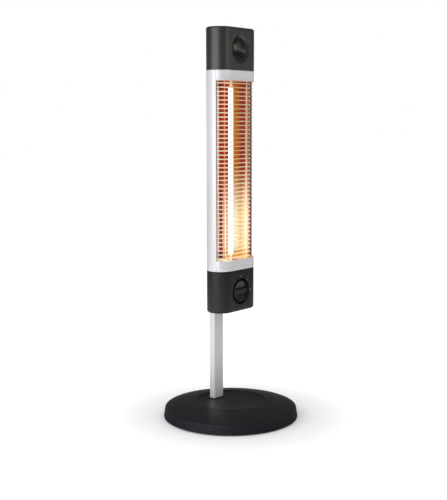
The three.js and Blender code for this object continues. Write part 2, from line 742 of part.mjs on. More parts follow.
add(heater, 'pole_collar', makeCollar(), blackPlastic, 0, poleY, recessFloor + SEAT_GAP);
add(heater, 'pole', makePole(), satinSilver);
add(heater, 'pole_plug', makePlug(), blackPlastic, 0, poleY, POLE_TOP);
fixingLevels.forEach((level, i) => {
  const place = i === 0 ? 'lower' : 'upper';
  const spacer = fixingBlock(
    SPACER.width, SPACER.height, backY + SEAT_GAP, backY + POLE_STANDOFF - SEAT_GAP, level);
  const nutPlate = fixingBlock(
    NUT_PLATE.width, NUT_PLATE.height, nutPlateFrontY, nutPlateBackY, level);
  add(heater, `pole_spacer_${place}`, spacer, blackPlastic);
  add(heater, `nut_plate_${place}`, nutPlate, zincSteel);
});
boltLevels.forEach((z, i) => {
  const seat = poleBackY + SEAT_GAP;
  const bolt = panScrew(POLE_BOLT.radius, seat - nutPlateFrontY, POLE_BOLT.head, POLE_BOLT.headHeight)
    .rotateX(-Math.PI / 2);
  add(heater, `pole_bolt_${i + 1}`, bolt, zincSteel, 0, seat, z);
});

// ---------------------------------------------------------------------------
// Head shell: rear housing, two front bands and the shields between chambers
// ---------------------------------------------------------------------------

const channelOrbit = lobeRadius - HOUSING_WALL - CHANNEL_RADIUS + CHANNEL_WELD;
const channelPlaces = [-1, 1].map((side) => {
  const x = side * (lobeCentre + channelOrbit * Math.cos(CHANNEL_ANGLE));
  return [x, channelOrbit * Math.sin(CHANNEL_ANGLE)];
});
const seamHalfAngle = SEAM_GAP / 2 / lobeRadius;
const capScrewLevels = [housingFoot + SKIRT_DEPTH / 2, housingTop - SKIRT_DEPTH / 2];
const capScrewSides = [-1, 1].map((side) => (side * CAP_SCREW.spacing) / 2);

// A hole along Y through the housing's back, at one level of the head.
function backHole(radius, x, z) {
  return crossHole(radius + HOLE_PLAY, backY - HOUSING_WALL - OVERRUN, backY + OVERRUN, z)
    .translate(x, 0, 0);
}

function makeRearHousing() {
  const bottom = housingFoot + CAP_JOINT_GAP / 2;
  const top = housingTop - CAP_JOINT_GAP / 2;
  const profile = [
    [shellBevel, bottom],
    [HOUSING_WALL, bottom],
    [HOUSING_WALL, top],
    [shellBevel, top],
    [0, top - shellBevel],
    [0, bottom + shellBevel],
  ];
  const shell = wrapped(profile, backStations(SEAM_ANGLE - seamHalfAngle, LOBE_STEPS));
  const channels = channelPlaces.map(([x, y]) => (
    disc(CHANNEL_RADIUS, chamberBottom, chamberTop, CHANNEL_SIDES).translate(x, y, 0)
  ));
  const boreRadius = SHIELD_SCREW.radius + HOLE_PLAY;
  const bores = channelPlaces.map(([x, y]) => (
    disc(boreRadius, chamberBottom - OVERRUN, chamberTop + OVERRUN, HOLE_SIDES).translate(x, y, 0)
  ));
  const boltHoles = boltLevels.map((z) => backHole(POLE_BOLT.radius, 0, z - HEAD_BOTTOM));
  const capHoles = capScrewLevels.flatMap((z) => (
    capScrewSides.map((x) => backHole(CAP_SCREW.radius, x, z))
  ));
  return cut(join(shell, ...channels), ...bores, ...boltHoles, ...capHoles);
}

// A front band. Its lip lies against the shield on the side away from the lamp.
function makeBand(capZ, windowZ) {
  const inwards = Math.sign(windowZ - capZ);
  const start = capZ + (inwards * CAP_JOINT_GAP) / 2;
  const lipNear = windowZ - inwards * (SHIELD_THICKNESS + 2 * SEAT_GAP);
  const lipFar = lipNear - inwards * LIP_THICKNESS;
  const profile = [
    [shellBevel, start],
    [0, start + inwards * shellBevel],
    [0, windowZ],
    [HOUSING_WALL, windowZ],
    [HOUSING_WALL, lipNear],
    [lipInset, lipNear],
    [lipInset, lipFar],
    [HOUSING_WALL, lipFar],
    [HOUSING_WALL, start],
  ];
  return wrapped(profile, frontStations(SEAM_ANGLE + seamHalfAngle, LOBE_STEPS));
}

function uprightPlaces() {
  const flank = [Math.PI + SEAM_ANGLE + FLANK_ANGLE, -SEAM_ANGLE - FLANK_ANGLE].map((angle, i) => {
    const place = { centre: i === 0 ? -lobeCentre : lobeCentre, angle };
    return onOutline(place, uprightInset, 0);
  });
  const ribs = [-RIB_OFFSET, RIB_OFFSET].map((x) => new THREE.Vector3(x, faceY + uprightInset, 0));
  return [...flank, ...ribs];
}

// Sheet across the head, with holes for the lamp's neck, the uprights and screws.
function makeShield(bottom) {
  const top = bottom + SHIELD_THICKNESS;
  const plate = slotSolid([[shieldInset, bottom], [shieldInset, top]]);
  const through = (radius) => disc(radius, bottom - OVERRUN, top + OVERRUN, HOLE_SIDES);
  const holes = [
    through(LAMP_PINCH_RADIUS + RUNNING_GAP).translate(0, LAMP_Y, 0),
    ...uprightPlaces().map((p) => through(WIRE_RADIUS + SEAT_GAP).translate(p.x, p.y, 0)),
    ...channelPlaces.map(([x, y]) => through(SHIELD_SCREW.radius + HOLE_PLAY).translate(x, y, 0)),
  ];
  return cut(plate, ...holes);
}

add(head, 'rear_housing', makeRearHousing(), satinSilver);
add(head, 'lower_band', makeBand(housingFoot, windowFoot), satinSilver);
add(head, 'upper_band', makeBand(housingTop, windowTop), satinSilver);
add(head, 'lower_shield', makeShield(lowerShieldBottom), polishedAluminium);
add(head, 'upper_shield', makeShield(upperShieldBottom), polishedAluminium);
channelPlaces.forEach(([x, y], i) => {
  const screw = () => (
    panScrew(SHIELD_SCREW.radius, SHIELD_SCREW.length, SHIELD_SCREW.head, SHIELD_SCREW.headHeight)
  );
  const upperSeat = upperShieldTop + SEAT_GAP;
  const lowerSeat = lowerShieldBottom - SEAT_GAP;
  add(head, `upper_shield_screw_${i + 1}`, screw(), zincSteel, x, y, upperSeat);
  add(head, `lower_shield_screw_${i + 1}`, screw().rotateX(Math.PI), zincSteel, x, y, lowerSeat);
});

// ---------------------------------------------------------------------------
// Guard: U-shaped wires welded to four uprights
// ---------------------------------------------------------------------------

function wireProfile(z) {
  return Array.from({ length: WIRE_SIDES }, (_, i) => {
    const angle = (2 * Math.PI * i) / WIRE_SIDES;
    return [GUARD_INSET + WIRE_RADIUS * Math.cos(angle), z + WIRE_RADIUS * Math.sin(angle)];
  });
}

function makeGuard() {
  const first = windowFoot + WIRE_MARGIN;
  const pitch = (WINDOW_HEIGHT - 2 * WIRE_MARGIN) / (WIRE_COUNT - 1);
  const places = frontStations(SEAM_ANGLE - WIRE_REACH, WIRE_STEPS);
  const wires = Array.from({ length: WIRE_COUNT }, (_, i) => (
    wrapped(wireProfile(first + i * pitch), places)
  ));
  const uprights = uprightPlaces().map((p) => (
    disc(WIRE_RADIUS, windowFoot - RIB_TAIL, windowTop + RIB_TAIL, WIRE_SIDES)
      .translate(p.x, p.y, 0)
  ));
  return join(uprights[0], ...wires, ...uprights.slice(1));
}

add(head, 'guard', makeGuard(), chrome);

// ---------------------------------------------------------------------------
// Reflector and lamp
// ---------------------------------------------------------------------------

// Two round troughs that meet in a ridge behind the lamp, with folded edges.
function makeReflector() {
  const inner = TROUGH_RADIUS;
  const outer = TROUGH_RADIUS + REFLECTOR_SHEET;
  const rise = REFLECTOR_EDGE_Y - TROUGH_CENTRE_Y;
  const edge = Math.asin(rise / inner);
  const outerEdge = Math.asin((rise + REFLECTOR_SHEET) / outer);
  const ridge = Math.PI - Math.acos(TROUGH_OFFSET / inner);
  const outerRidge = Math.PI - Math.acos(TROUGH_OFFSET / outer);
  const flange = TROUGH_OFFSET + inner * Math.cos(edge) + REFLECTOR_FLANGE;
  const shape = new THREE.Shape();
  shape.moveTo(flange, REFLECTOR_EDGE_Y);
  shape.absarc(TROUGH_OFFSET, TROUGH_CENTRE_Y, inner, edge, ridge, false);
  shape.absarc(-TROUGH_OFFSET, TROUGH_CENTRE_Y, inner, Math.PI - ridge, Math.PI - edge, false);
  shape.lineTo(-flange, REFLECTOR_EDGE_Y);
  shape.lineTo(-flange, REFLECTOR_EDGE_Y + REFLECTOR_SHEET);
  shape.absarc(-TROUGH_OFFSET, TROUGH_CENTRE_Y, outer, Math.PI - outerEdge, Math.PI - outerRidge, true);
  shape.absarc(TROUGH_OFFSET, TROUGH_CENTRE_Y, outer, outerRidge, outerEdge, true);
  shape.lineTo(flange, REFLECTOR_EDGE_Y + REFLECTOR_SHEET);
  return prism(shape, chamberBottom, chamberTop, LOBE_STEPS);
}

const tubeBottom = windowFoot + LAMP_END_MARGIN;
const tubeTop = windowTop - LAMP_END_MARGIN;
const neckBottom = windowFoot - LAMP_TAIL;
const neckTop = windowTop + LAMP_TAIL;

function makeLampTube() {
  const neckBore = LAMP_PINCH_RADIUS - LAMP_GLASS;
  const bore = LAMP_RADIUS - LAMP_GLASS;
  return turned([
    [neckBore, neckBottom],
    [LAMP_PINCH_RADIUS, neckBottom],
    [LAMP_PINCH_RADIUS, tubeBottom - LAMP_TAPER],
    [LAMP_RADIUS, tubeBottom],
    [LAMP_RADIUS, tubeTop],
    [LAMP_PINCH_RADIUS, tubeTop + LAMP_TAPER],
    [LAMP_PINCH_RADIUS, neckTop],
    [neckBore, neckTop],
    [neckBore, tubeTop + LAMP_TAPER],
    [bore, tubeTop],
    [bore, tubeBottom],
    [neckBore, tubeBottom - LAMP_TAPER],
    [neckBore, neckBottom],
  ], SMALL_ROUND);
}

// A flat carbon ribbon that narrows to a lead at each end.
function makeElement() {
  const halfWidth = Math.min(ELEMENT_WIDTH / 2, LAMP_RADIUS - LAMP_GLASS - RUNNING_GAP);
  const halfThickness = ELEMENT_THICKNESS / 2;
  const ring = (halfSpan, z) => [
    new THREE.Vector3(halfSpan, halfThickness, z),
    new THREE.Vector3(-halfSpan, halfThickness, z),
    new THREE.Vector3(-halfSpan, -halfThickness, z),
    new THREE.Vector3(halfSpan, -halfThickness, z),
  ];
  return loft([
    ring(halfThickness, neckBottom),
    ring(halfThickness, tubeBottom),
    ring(halfWidth, tubeBottom + ELEMENT_WIDTH),
    ring(halfWidth, tubeTop - ELEMENT_WIDTH),
    ring(halfThickness, tubeTop),
    ring(halfThickness, neckTop),
  ], [[0, 1, 2], [0, 2, 3]]);
}

// Ceramic end piece, made for the upper end, with the cable's outlet on top.
function makeCeramic() {
  return turned([
    [0, CERAMIC_SOCKET],
    [LAMP_PINCH_RADIUS + SEAT_GAP, CERAMIC_SOCKET],
    [LAMP_PINCH_RADIUS + SEAT_GAP, 0],
    [CERAMIC_RADIUS, 0],
    [CERAMIC_RADIUS, CERAMIC_LENGTH - CERAMIC_CHAMFER],
    [CERAMIC_RADIUS - CERAMIC_CHAMFER, CERAMIC_LENGTH],
    [0, CERAMIC_LENGTH],
  ], SMALL_ROUND);
}

// Spring clip round the ceramic, with a foot to its shield.
function makeClip(footZ) {
  const inner = CERAMIC_RADIUS + SEAT_GAP;
  const outer = inner + CLIP_WALL;
  const middle = CERAMIC_LENGTH / 2;
  const ring = turned([
    [inner, middle - CLIP_HEIGHT / 2],
    [outer, middle - CLIP_HEIGHT / 2],
    [outer, middle + CLIP_HEIGHT / 2],
    [inner, middle + CLIP_HEIGHT / 2],
    [inner, middle - CLIP_HEIGHT / 2],
  ], SMALL_ROUND);
  const opening = box(inner * CLIP_OPENING, outer * 2, -CERAMIC_LENGTH, 2 * CERAMIC_LENGTH)
    .translate(0, -outer, 0);
  const leg = box(CLIP_HEIGHT, CLIP_WALL, footZ, middle).translate(0, outer - CLIP_WALL / 2, 0);
  const foot = box(CLIP_HEIGHT, CLIP_HEIGHT, footZ, footZ + CLIP_WALL)
    .translate(0, outer - CLIP_WALL + CLIP_HEIGHT / 2, 0);
  return join(cut(ring, opening), leg, foot);
}

const ceramicStart = LAMP_TAIL - NECK_IN_SOCKET; // the ceramics start this far outside the window
const clipFoot = upperShieldTop + SEAT_GAP - (windowTop + ceramicStart);

add(head, 'reflector', makeReflector(), polishedAluminium);
add(head, 'lamp_tube', makeLampTube(), quartz, 0, LAMP_Y);
add(head, 'lamp_element', makeElement(), carbon, 0, LAMP_Y);
add(head, 'lamp_end_upper', makeCeramic(), ceramic, 0, LAMP_Y, windowTop + ceramicStart);
add(head, 'lamp_end_lower', makeCeramic().rotateY(Math.PI), ceramic, 0, LAMP_Y, windowFoot - ceramicStart);
add(head, 'lamp_clip_upper', makeClip(clipFoot), zincSteel, 0, LAMP_Y, windowTop + ceramicStart);
add(head, 'lamp_clip_lower', makeClip(clipFoot).rotateY(Math.PI), zincSteel,
  0, LAMP_Y, windowFoot - ceramicStart);

// ---------------------------------------------------------------------------
// Caps: moulded shells with a dish in front and a skirt into the housing
// ---------------------------------------------------------------------------

// A dish about Z with its mouth at zero and its floor below.
function dishSolid(mouthRadius, draft, depth, extra = 0) {
  return turned([
    [0, -depth - extra],
    [mouthRadius - draft + extra, -depth - extra],
    [mouthRadius + extra, 0],
    [mouthRadius + extra + (draft / depth) * OVERRUN, OVERRUN],
    [0, OVERRUN],
  ], DIAL_STEPS);
}

// The shell of a cap that stands on z = 0 with its closed end at the given height.
function capShell(height, dish, dishZ) {
  const closed = roundedEdge(0, height, CAP_FILLET).reverse();
  const outside = slotSolid([[0, CAP_JOINT_GAP / 2], ...closed]);
  const innerFillet = CAP_FILLET - CAP_WALL;
  const inner = roundedEdge(CAP_WALL, height - CAP_WALL, innerFillet, CORNER_STEPS).reverse();
  const inside = slotSolid([[CAP_WALL, -OVERRUN], ...inner]);
  const placed = (geometry) => facingFront(geometry).translate(0, faceY, dishZ);
  const wall = placed(dishSolid(dish.radius, dish.draft, dish.depth, CAP_WALL));
  const bowl = common(wall, outside);
  const hollow = placed(dishSolid(dish.radius, dish.draft, dish.depth));
  const skirt = [
    slotSolid([[HOUSING_WALL / 2, CAP_JOINT_GAP], [HOUSING_WALL / 2, SKIRT_WALL + CAP_JOINT_GAP]]),
    slotSolid([[shieldInset, -SKIRT_DEPTH], [shieldInset, SKIRT_WALL]]),
  ];
  const boreInset = shieldInset + SKIRT_WALL;
  const skirtBore = slotSolid([
    [boreInset, -SKIRT_DEPTH - OVERRUN],
    [boreInset, SKIRT_WALL + CAP_JOINT_GAP + OVERRUN],
  ]);
  const holeRadius = CAP_SCREW.radius + HOLE_PLAY / 2;
  const screwHoles = capScrewSides.map((x) => (
    crossHole(holeRadius, backY - boreInset - OVERRUN, backY + OVERRUN, -SKIRT_DEPTH / 2).translate(x, 0, 0)
  ));
  const shell = cut(outside, inside);
  return cut(join(shell, bowl, cut(join(...skirt), skirtBore)), hollow, ...screwHoles);
}

function makeTopCap() {
  const dish = { radius: EYE_DISH_RADIUS, draft: EYE_DISH_DRAFT, depth: EYE_DISH_DEPTH };
  const shell = capShell(TOP_CAP_HEIGHT, dish, EYE_HEIGHT_IN_CAP);
  const hole = facingFront(disc(EYE_SPIGOT_RADIUS + SEAT_GAP, -2 * EYE_DISH_DEPTH - CAP_WALL, 0, ROUND))
    .translate(0, faceY, EYE_HEIGHT_IN_CAP);
  return cut(shell, hole);
}

// The bottom cap is the same shell upside down, with its own dish and outlets.
function makeBottomCap() {
  const dish = { radius: DISH_RADIUS, draft: DISH_DRAFT, depth: DISH_DEPTH };
  const dishZ = BOTTOM_CAP_HEIGHT - KNOB_HEIGHT_IN_CAP;
  const shell = capShell(BOTTOM_CAP_HEIGHT, dish, dishZ)
    .scale(1, 1, -1)
    .translate(0, 0, BOTTOM_CAP_HEIGHT);
  const neckHole = disc(NECK_RADIUS + SEAT_GAP, floorBack - OVERRUN, -DISH_DEPTH + OVERRUN);
  const neck = facingFront(neckHole).translate(0, faceY, KNOB_HEIGHT_IN_CAP);
  const glandHole = disc(GLAND_RADIUS + SEAT_GAP, -OVERRUN, CAP_WALL + OVERRUN)
    .translate(GLAND_X, GLAND_Y, 0);
  return cut(shell, neck, glandHole);
}

add(head, 'bottom_cap', makeBottomCap(), satinBlack);
add(head, 'top_cap', makeTopCap(), charcoal, 0, 0, housingTop);
capScrewLevels.forEach((z, level) => {
  const place = level === 0 ? 'bottom' : 'top';
  capScrewSides.forEach((x, i) => {
    const reach = HOUSING_WALL + SEAT_GAP + SKIRT_WALL;
    const screw = panScrew(CAP_SCREW.radius, reach, CAP_SCREW.head, CAP_SCREW.headHeight)
      .rotateX(-Math.PI / 2);
    add(head, `${place}_cap_screw_${i + 1}`, screw, zincSteel, x, backY + SEAT_GAP, z);
  });
});

// ---------------------------------------------------------------------------
// Knob, its shaft and the rotary switch
// ---------------------------------------------------------------------------

// Half-moon scoop above or below the grip bar, deepest beside the bar.
function makeScoop(side) {
  const radius = KNOB_RADIUS - KNOB_DRAFT - SCOOP_RIM;
  const chord = GRIP_WIDTH / 2;
  const start = Math.asin(chord / radius);
  const moon = new THREE.Shape();
  moon.absarc(0, 0, radius, start, Math.PI - start, false);
  const slope = Math.atan(SCOOP_DEPTH / (radius - chord));
  const solid = prism(moon, 0, KNOB_RADIUS, SMALL_ROUND)
    .translate(0, -chord, 0)
    .rotateX(slope)
    .translate(0, chord, -SCOOP_DEPTH);
  return side > 0 ? solid : solid.rotateZ(Math.PI);
}

// The knob about Z: its front is at zero and its open back below.
function makeKnob() {
  const back = -DISH_DEPTH + KNOB_FLOOR_GAP;
  const cavityTop = -SCOOP_DEPTH - KNOB_SKIN;
  const front = KNOB_RADIUS - KNOB_DRAFT;
  const knee = KNOB_EDGE * KNOB_EDGE_KNEE;
  const body = turned([
    [0, back],
    [KNOB_RADIUS, back],
    [front, -KNOB_EDGE],
    [front - knee, -knee],
    [front - KNOB_EDGE, 0],
    [0, 0],
  ], DIAL_STEPS);
  const cavity = disc(KNOB_RADIUS - KNOB_WALL, back - OVERRUN, cavityTop, ROUND);
  const bore = shaftSolid(back - OVERRUN, -KNOB_SKIN, SHAFT_RADIUS + SEAT_GAP);
  const pointer = box(POINTER.length, POINTER.width, -POINTER.depth, OVERRUN)
    .translate(front - POINTER.inset, 0, 0);
  return cut(body, makeScoop(1), makeScoop(-1), cavity, bore, pointer);
}

// Round rod with a flat along it.
function shaftSolid(bottom, top, radius) {
  const flat = box(4 * radius, radius, bottom - OVERRUN, top + OVERRUN)
    .translate(0, radius * 1.5 - SHAFT_FLAT, 0);
  return cut(disc(radius, bottom, top), flat);
}

const neckEnd = -DISH_DEPTH + SWITCH_NUT_THICKNESS + 2 * SEAT_GAP;

function makeSwitch() {
  const front = floorBack - SEAT_GAP;
  const back = front - SWITCH_DEPTH;
  const body = roundedBar(SWITCH_WIDTH, SWITCH_WIDTH, SWITCH_CORNER, back, front);
  const neck = disc(NECK_RADIUS, front - OVERRUN, neckEnd);
  const blades = [-1, 0, 1].map((column) => (
    box(SWITCH_BLADE.width, SWITCH_BLADE.thickness, back - SWITCH_BLADE.length, back + OVERRUN)
      .translate(column * SWITCH_BLADE.pitch, SWITCH_WIDTH / 4, 0)
  ));
  const boreEnd = front - SHAFT_IN_SWITCH - SHAFT_END_GAP;
  const shaftBore = disc(SHAFT_RADIUS + RUNNING_GAP, boreEnd, neckEnd + OVERRUN);
  return cut(join(body, neck, ...blades), shaftBore);
}

function makeSwitchNut() {
  const bottom = -DISH_DEPTH + SEAT_GAP;
  const top = bottom + SWITCH_NUT_THICKNESS;
  const bore = disc(NECK_RADIUS + SEAT_GAP, bottom - OVERRUN, top + OVERRUN);
  return cut(hexagon(SWITCH_NUT_FLATS, SWITCH_NUT_THICKNESS, bottom), bore);
}

const dial = new THREE.Group();
dial.position.set(0, faceY, KNOB_HEIGHT_IN_CAP);
dial.rotation.x = Math.PI / 2;
head.add(dial);

add(dial, 'control_knob', makeKnob(), satinBlack);
const shaftEnds = [floorBack - SHAFT_IN_SWITCH, -KNOB_SKIN - SHAFT_END_GAP];
add(dial, 'switch_shaft', shaftSolid(...shaftEnds, SHAFT_RADIUS), zincSteel);
add(dial, 'rotary_switch', makeSwitch(), blackPlastic);
add(dial, 'switch_nut', makeSwitchNut(), brass);

// ---------------------------------------------------------------------------
// Receiver eye: a glossy dome in the top dish with its small board behind
// ---------------------------------------------------------------------------

const spigotEnd = -EYE_DISH_DEPTH - CAP_WALL - EYE_SPIGOT_DEPTH;

// A hollow spigot through the dish's floor under a brim with a round crown.
function makeEye() {
  const seat = -EYE_DISH_DEPTH + SEAT_GAP;
  const crownRadius = (EYE_RADIUS ** 2 + EYE_CROWN ** 2) / (2 * EYE_CROWN);
  const reach = Math.asin(EYE_RADIUS / crownRadius);
  const crownTopZ = seat + EYE_BRIM + EYE_CROWN;
  const dome = Array.from({ length: EYE_STEPS + 1 }, (_, i) => {
    const angle = reach * (1 - i / EYE_STEPS);
    return [crownRadius * Math.sin(angle), crownTopZ - crownRadius * (1 - Math.cos(angle))];
  });
  return turned([
    [0, seat - EYE_SKIN],
    [EYE_SPIGOT_RADIUS - EYE_WALL, seat - EYE_SKIN],
    [EYE_SPIGOT_RADIUS - EYE_WALL, spigotEnd],
    [EYE_SPIGOT_RADIUS, spigotEnd],
    [EYE_SPIGOT_RADIUS, seat],
    [EYE_RADIUS, seat],
    ...dome,
  ], ROUND);
}

function makeBoard() {
  const front = spigotEnd - SEAT_GAP;
  const back = front - BOARD_THICKNESS;
  const plate = box(BOARD_WIDTH, BOARD_HEIGHT, back, front);
  const sensor = box(SENSOR.width, SENSOR.height, front - OVERRUN, front + SENSOR.depth);
  const relay = box(RELAY.width, RELAY.height, back - RELAY.depth, back + OVERRUN / 2)
    .translate(RELAY.x, RELAY.y, 0);
  return join(plate, sensor, relay);
}

const eye = new THREE.Group();
eye.position.set(0, faceY, housingTop + EYE_HEIGHT_IN_CAP);
eye.rotation.x = Math.PI / 2;
head.add(eye);

add(eye, 'receiver_eye', makeEye(), glossBlack);
add(eye, 'receiver_board', makeBoard(), boardGreen);

// ---------------------------------------------------------------------------
// Tilt switch: a pendulum that hangs from a pin between two cheeks
// ---------------------------------------------------------------------------

const pivotZ = TILT_FRAME_HEIGHT - TILT_PIVOT_DROP;
const cheekInside = TILT_FRAME_WIDTH / 2 - TILT_WALL;

function alongX(geometry) {
  return geometry.rotateY(Math.PI / 2);
}

function makeTiltFrame() {
  const block = box(TILT_FRAME_WIDTH, TILT_FRAME_DEPTH, 0, TILT_FRAME_HEIGHT);
  const channelDepth = TILT_FRAME_DEPTH + 2 * OVERRUN;
  const channel = box(2 * cheekInside, channelDepth, TILT_WALL, TILT_FRAME_HEIGHT + OVERRUN);
  const holes = alongX(disc(TILT_PIN_RADIUS + SEAT_GAP, -TILT_FRAME_WIDTH, TILT_FRAME_WIDTH))
    .translate(0, 0, pivotZ);
  return cut(block, channel, holes);
}

function makeTiltPin() {
  const end = TILT_FRAME_WIDTH / 2 + TILT_PIN_PROUD;
  const pin = alongX(disc(TILT_PIN_RADIUS, -end, end));
  const flange = alongX(disc(TILT_PIN_RADIUS + TILT_PIN_HEAD.rim, end - TILT_PIN_HEAD.thickness, end));
  return join(pin, flange);
}

function makePendulum() {
  const hubRadius = TILT_PIN_RADIUS + RUNNING_GAP + PENDULUM_HUB_WALL;
  const hub = alongX(disc(hubRadius, -BOB_THICKNESS / 2, BOB_THICKNESS / 2));
  const arm = box(BOB_THICKNESS / 2, PENDULUM_ARM, -PENDULUM_LENGTH, OVERRUN - hubRadius);
  const bob = alongX(disc(BOB_RADIUS, -BOB_THICKNESS / 2, BOB_THICKNESS / 2))
    .translate(0, 0, -PENDULUM_LENGTH);
  const bore = alongX(disc(TILT_PIN_RADIUS + RUNNING_GAP, -BOB_THICKNESS, BOB_THICKNESS));
  return cut(join(hub, arm, bob), bore);
}

const tilt = new THREE.Group();
tilt.position.set(TILT_X, 0, capFloor);
head.add(tilt);

add(tilt, 'tilt_frame', makeTiltFrame(), blackPlastic);
add(tilt, 'tilt_pin', makeTiltPin(), zincSteel, 0, 0, pivotZ);
add(tilt, 'tilt_pendulum', makePendulum(), brass, 0, 0, pivotZ);

// ---------------------------------------------------------------------------
// Mains side: terminal block, cable gland and overheat cut-out
// ---------------------------------------------------------------------------

function makeTerminalBlock() {
  const block = box(TERMINAL_WIDTH, TERMINAL_DEPTH, 0, TERMINAL_HEIGHT);
  const pitch = TERMINAL_DEPTH / TERMINAL_WAYS;
  const middle = TERMINAL_HEIGHT / 2;
  const well = (x, y) => (
    disc(TERMINAL_WELL, middle, TERMINAL_HEIGHT + OVERRUN, HOLE_SIDES).translate(x, y, 0)
  );
  const tools = Array.from({ length: TERMINAL_WAYS }, (_, i) => {
    const y = (i - (TERMINAL_WAYS - 1) / 2) * pitch;
    const bore = alongX(disc(TERMINAL_BORE, -TERMINAL_WIDTH, TERMINAL_WIDTH, HOLE_SIDES));
    return [bore.translate(0, y, middle), well(-TERMINAL_WIDTH / 4, y), well(TERMINAL_WIDTH / 4, y)];
  }).flat();
  return cut(block, ...tools);
}

// Bush through the cap's floor with a collar on each side of it.
function makeGland() {
  const collar = GLAND_RADIUS + GLAND_COLLAR;
  const outside = -GLAND_COLLAR_HEIGHT;
  const inside = capFloor + GLAND_COLLAR_HEIGHT;
  return turned([
    [GLAND_BORE, outside],
    [GLAND_RADIUS - GLAND_COLLAR / 2, outside],
    [collar, outside / 2],
    [collar, -SEAT_GAP],
    [GLAND_RADIUS, -SEAT_GAP],
    [GLAND_RADIUS, capFloor],
    [collar, capFloor],
    [collar, inside],
    [GLAND_BORE, inside],
    [GLAND_BORE, outside],
  ], SMALL_ROUND);
}

function makeCutout() {
  const flange = disc(CUTOUT_RADIUS, 0, CUTOUT_FLANGE);
  const stem = disc(CUTOUT_STEM_RADIUS, CUTOUT_FLANGE - OVERRUN, CUTOUT_HEIGHT);
  const tip = CUTOUT_HEIGHT + CUTOUT_BLADE.length;
  const blades = [-1, 1].map((side) => (
    box(CUTOUT_BLADE.thickness, CUTOUT_BLADE.width, CUTOUT_HEIGHT - OVERRUN, tip)
      .translate((side * CUTOUT_BLADE.spacing) / 2, 0, 0)
  ));
  return join(flange, stem, ...blades);
}

add(head, 'terminal_block', makeTerminalBlock(), ceramic, TERMINAL_X, 0, capFloor);
add(head, 'cord_gland', makeGland(), rubber, GLAND_X, GLAND_Y);
add(head, 'thermal_cutout', makeCutout(), brass, lobeCentre * CUTOUT_PLACE, 0,
  upperShieldTop + SEAT_GAP);

export default heater;
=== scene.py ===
"""Looks of a free-standing infrared patio heater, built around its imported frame.

A round weighted base carries a flat pole, and the pole carries a slim upright
head. The head's lamp shines forwards through a guard of bent wires, with a
bright double trough behind it. Everything is in metres, +Z is up, the front
faces -Y and +X is to the right seen from the front.
"""

from __future__ import annotations

import json
import logging
import math
from dataclasses import dataclass
from enum import Enum
from typing import Any, Mapping, Sequence

import bmesh
import bpy
from mathutils import Matrix, Vector

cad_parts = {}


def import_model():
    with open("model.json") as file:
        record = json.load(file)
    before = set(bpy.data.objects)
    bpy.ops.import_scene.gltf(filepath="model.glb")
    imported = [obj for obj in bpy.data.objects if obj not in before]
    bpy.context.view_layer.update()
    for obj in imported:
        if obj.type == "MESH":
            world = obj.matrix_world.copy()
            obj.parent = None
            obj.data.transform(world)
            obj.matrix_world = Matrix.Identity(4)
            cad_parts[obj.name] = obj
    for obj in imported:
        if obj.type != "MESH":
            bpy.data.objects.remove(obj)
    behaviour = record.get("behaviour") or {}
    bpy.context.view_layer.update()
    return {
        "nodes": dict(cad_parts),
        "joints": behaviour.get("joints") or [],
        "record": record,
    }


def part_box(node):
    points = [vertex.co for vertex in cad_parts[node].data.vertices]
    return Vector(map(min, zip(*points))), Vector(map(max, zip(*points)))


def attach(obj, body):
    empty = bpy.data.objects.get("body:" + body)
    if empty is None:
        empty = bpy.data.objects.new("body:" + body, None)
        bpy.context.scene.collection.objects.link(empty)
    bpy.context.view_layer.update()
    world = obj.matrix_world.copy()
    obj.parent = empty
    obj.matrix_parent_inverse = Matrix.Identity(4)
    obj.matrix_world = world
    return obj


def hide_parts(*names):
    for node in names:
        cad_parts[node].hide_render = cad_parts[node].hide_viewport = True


LOG = logging.getLogger("heater")
QUARTER = math.pi / 2
GAP = 0.0003  # clearance between neighbouring pieces
ON_AXIS = 1e-9  # a smaller radius is a point on the axis
SAME_PLACE = 1e-7  # closer corners are one corner

Point = tuple[float, float, float]
Pair = tuple[float, float]
Colour = tuple[float, float, float]
Stops = tuple[tuple[float, Colour], ...]

BLACK: Colour = (0.0, 0.0, 0.0)


def srgb(code: str) -> Colour:
    """Linear colour of a six-digit hexadecimal screen colour.

    Args:
        code: Six hexadecimal digits, two for each channel.

    Returns:
        The linear red, green and blue.
    """
    channels = [int(code[i : i + 2], 16) / 255 for i in (0, 2, 4)]
    knee, slope, offset, power = 0.04045, 12.92, 0.055, 2.4
    red, green, blue = (
        c / slope if c <= knee else ((c + offset) / (1 + offset)) ** power for c in channels
    )
    return red, green, blue


# ---------------------------------------------------------------------------
# Node trees
# ---------------------------------------------------------------------------


class Number:
    """A number socket in a node tree, for use in Python expressions."""

    def __init__(self, kit: NodeKit, socket: bpy.types.NodeSocket) -> None:
        self.kit = kit
        self.socket = socket

    def _math(self, operation: str, first: Any, second: Any) -> Number:
        """Adds one Math node and wraps its result."""
        return self.kit.number("ShaderNodeMath", {"operation": operation}, {0: first, 1: second})

    def __add__(self, other: Any) -> Number:
        """Sum."""
        return self._math("ADD", self, other)

    __radd__ = __add__

    def __sub__(self, other: Any) -> Number:
        """Difference."""
        return self._math("SUBTRACT", self, other)

    def __rsub__(self, other: Any) -> Number:
        """Difference from a plain number."""
        return self._math("SUBTRACT", other, self)

    def __mul__(self, other: Any) -> Number:
        """Product."""
        return self._math("MULTIPLY", self, other)

    __rmul__ = __mul__

    def __truediv__(self, other: Any) -> Number:
        """Quotient."""
        return self._math("DIVIDE", self, other)

    def __rtruediv__(self, other: Any) -> Number:
        """Quotient of a plain number."""
        return self._math("DIVIDE", other, self)

    def larger(self, other: Any) -> Number:
        """The larger of two numbers."""
        return self._math("MAXIMUM", self, other)


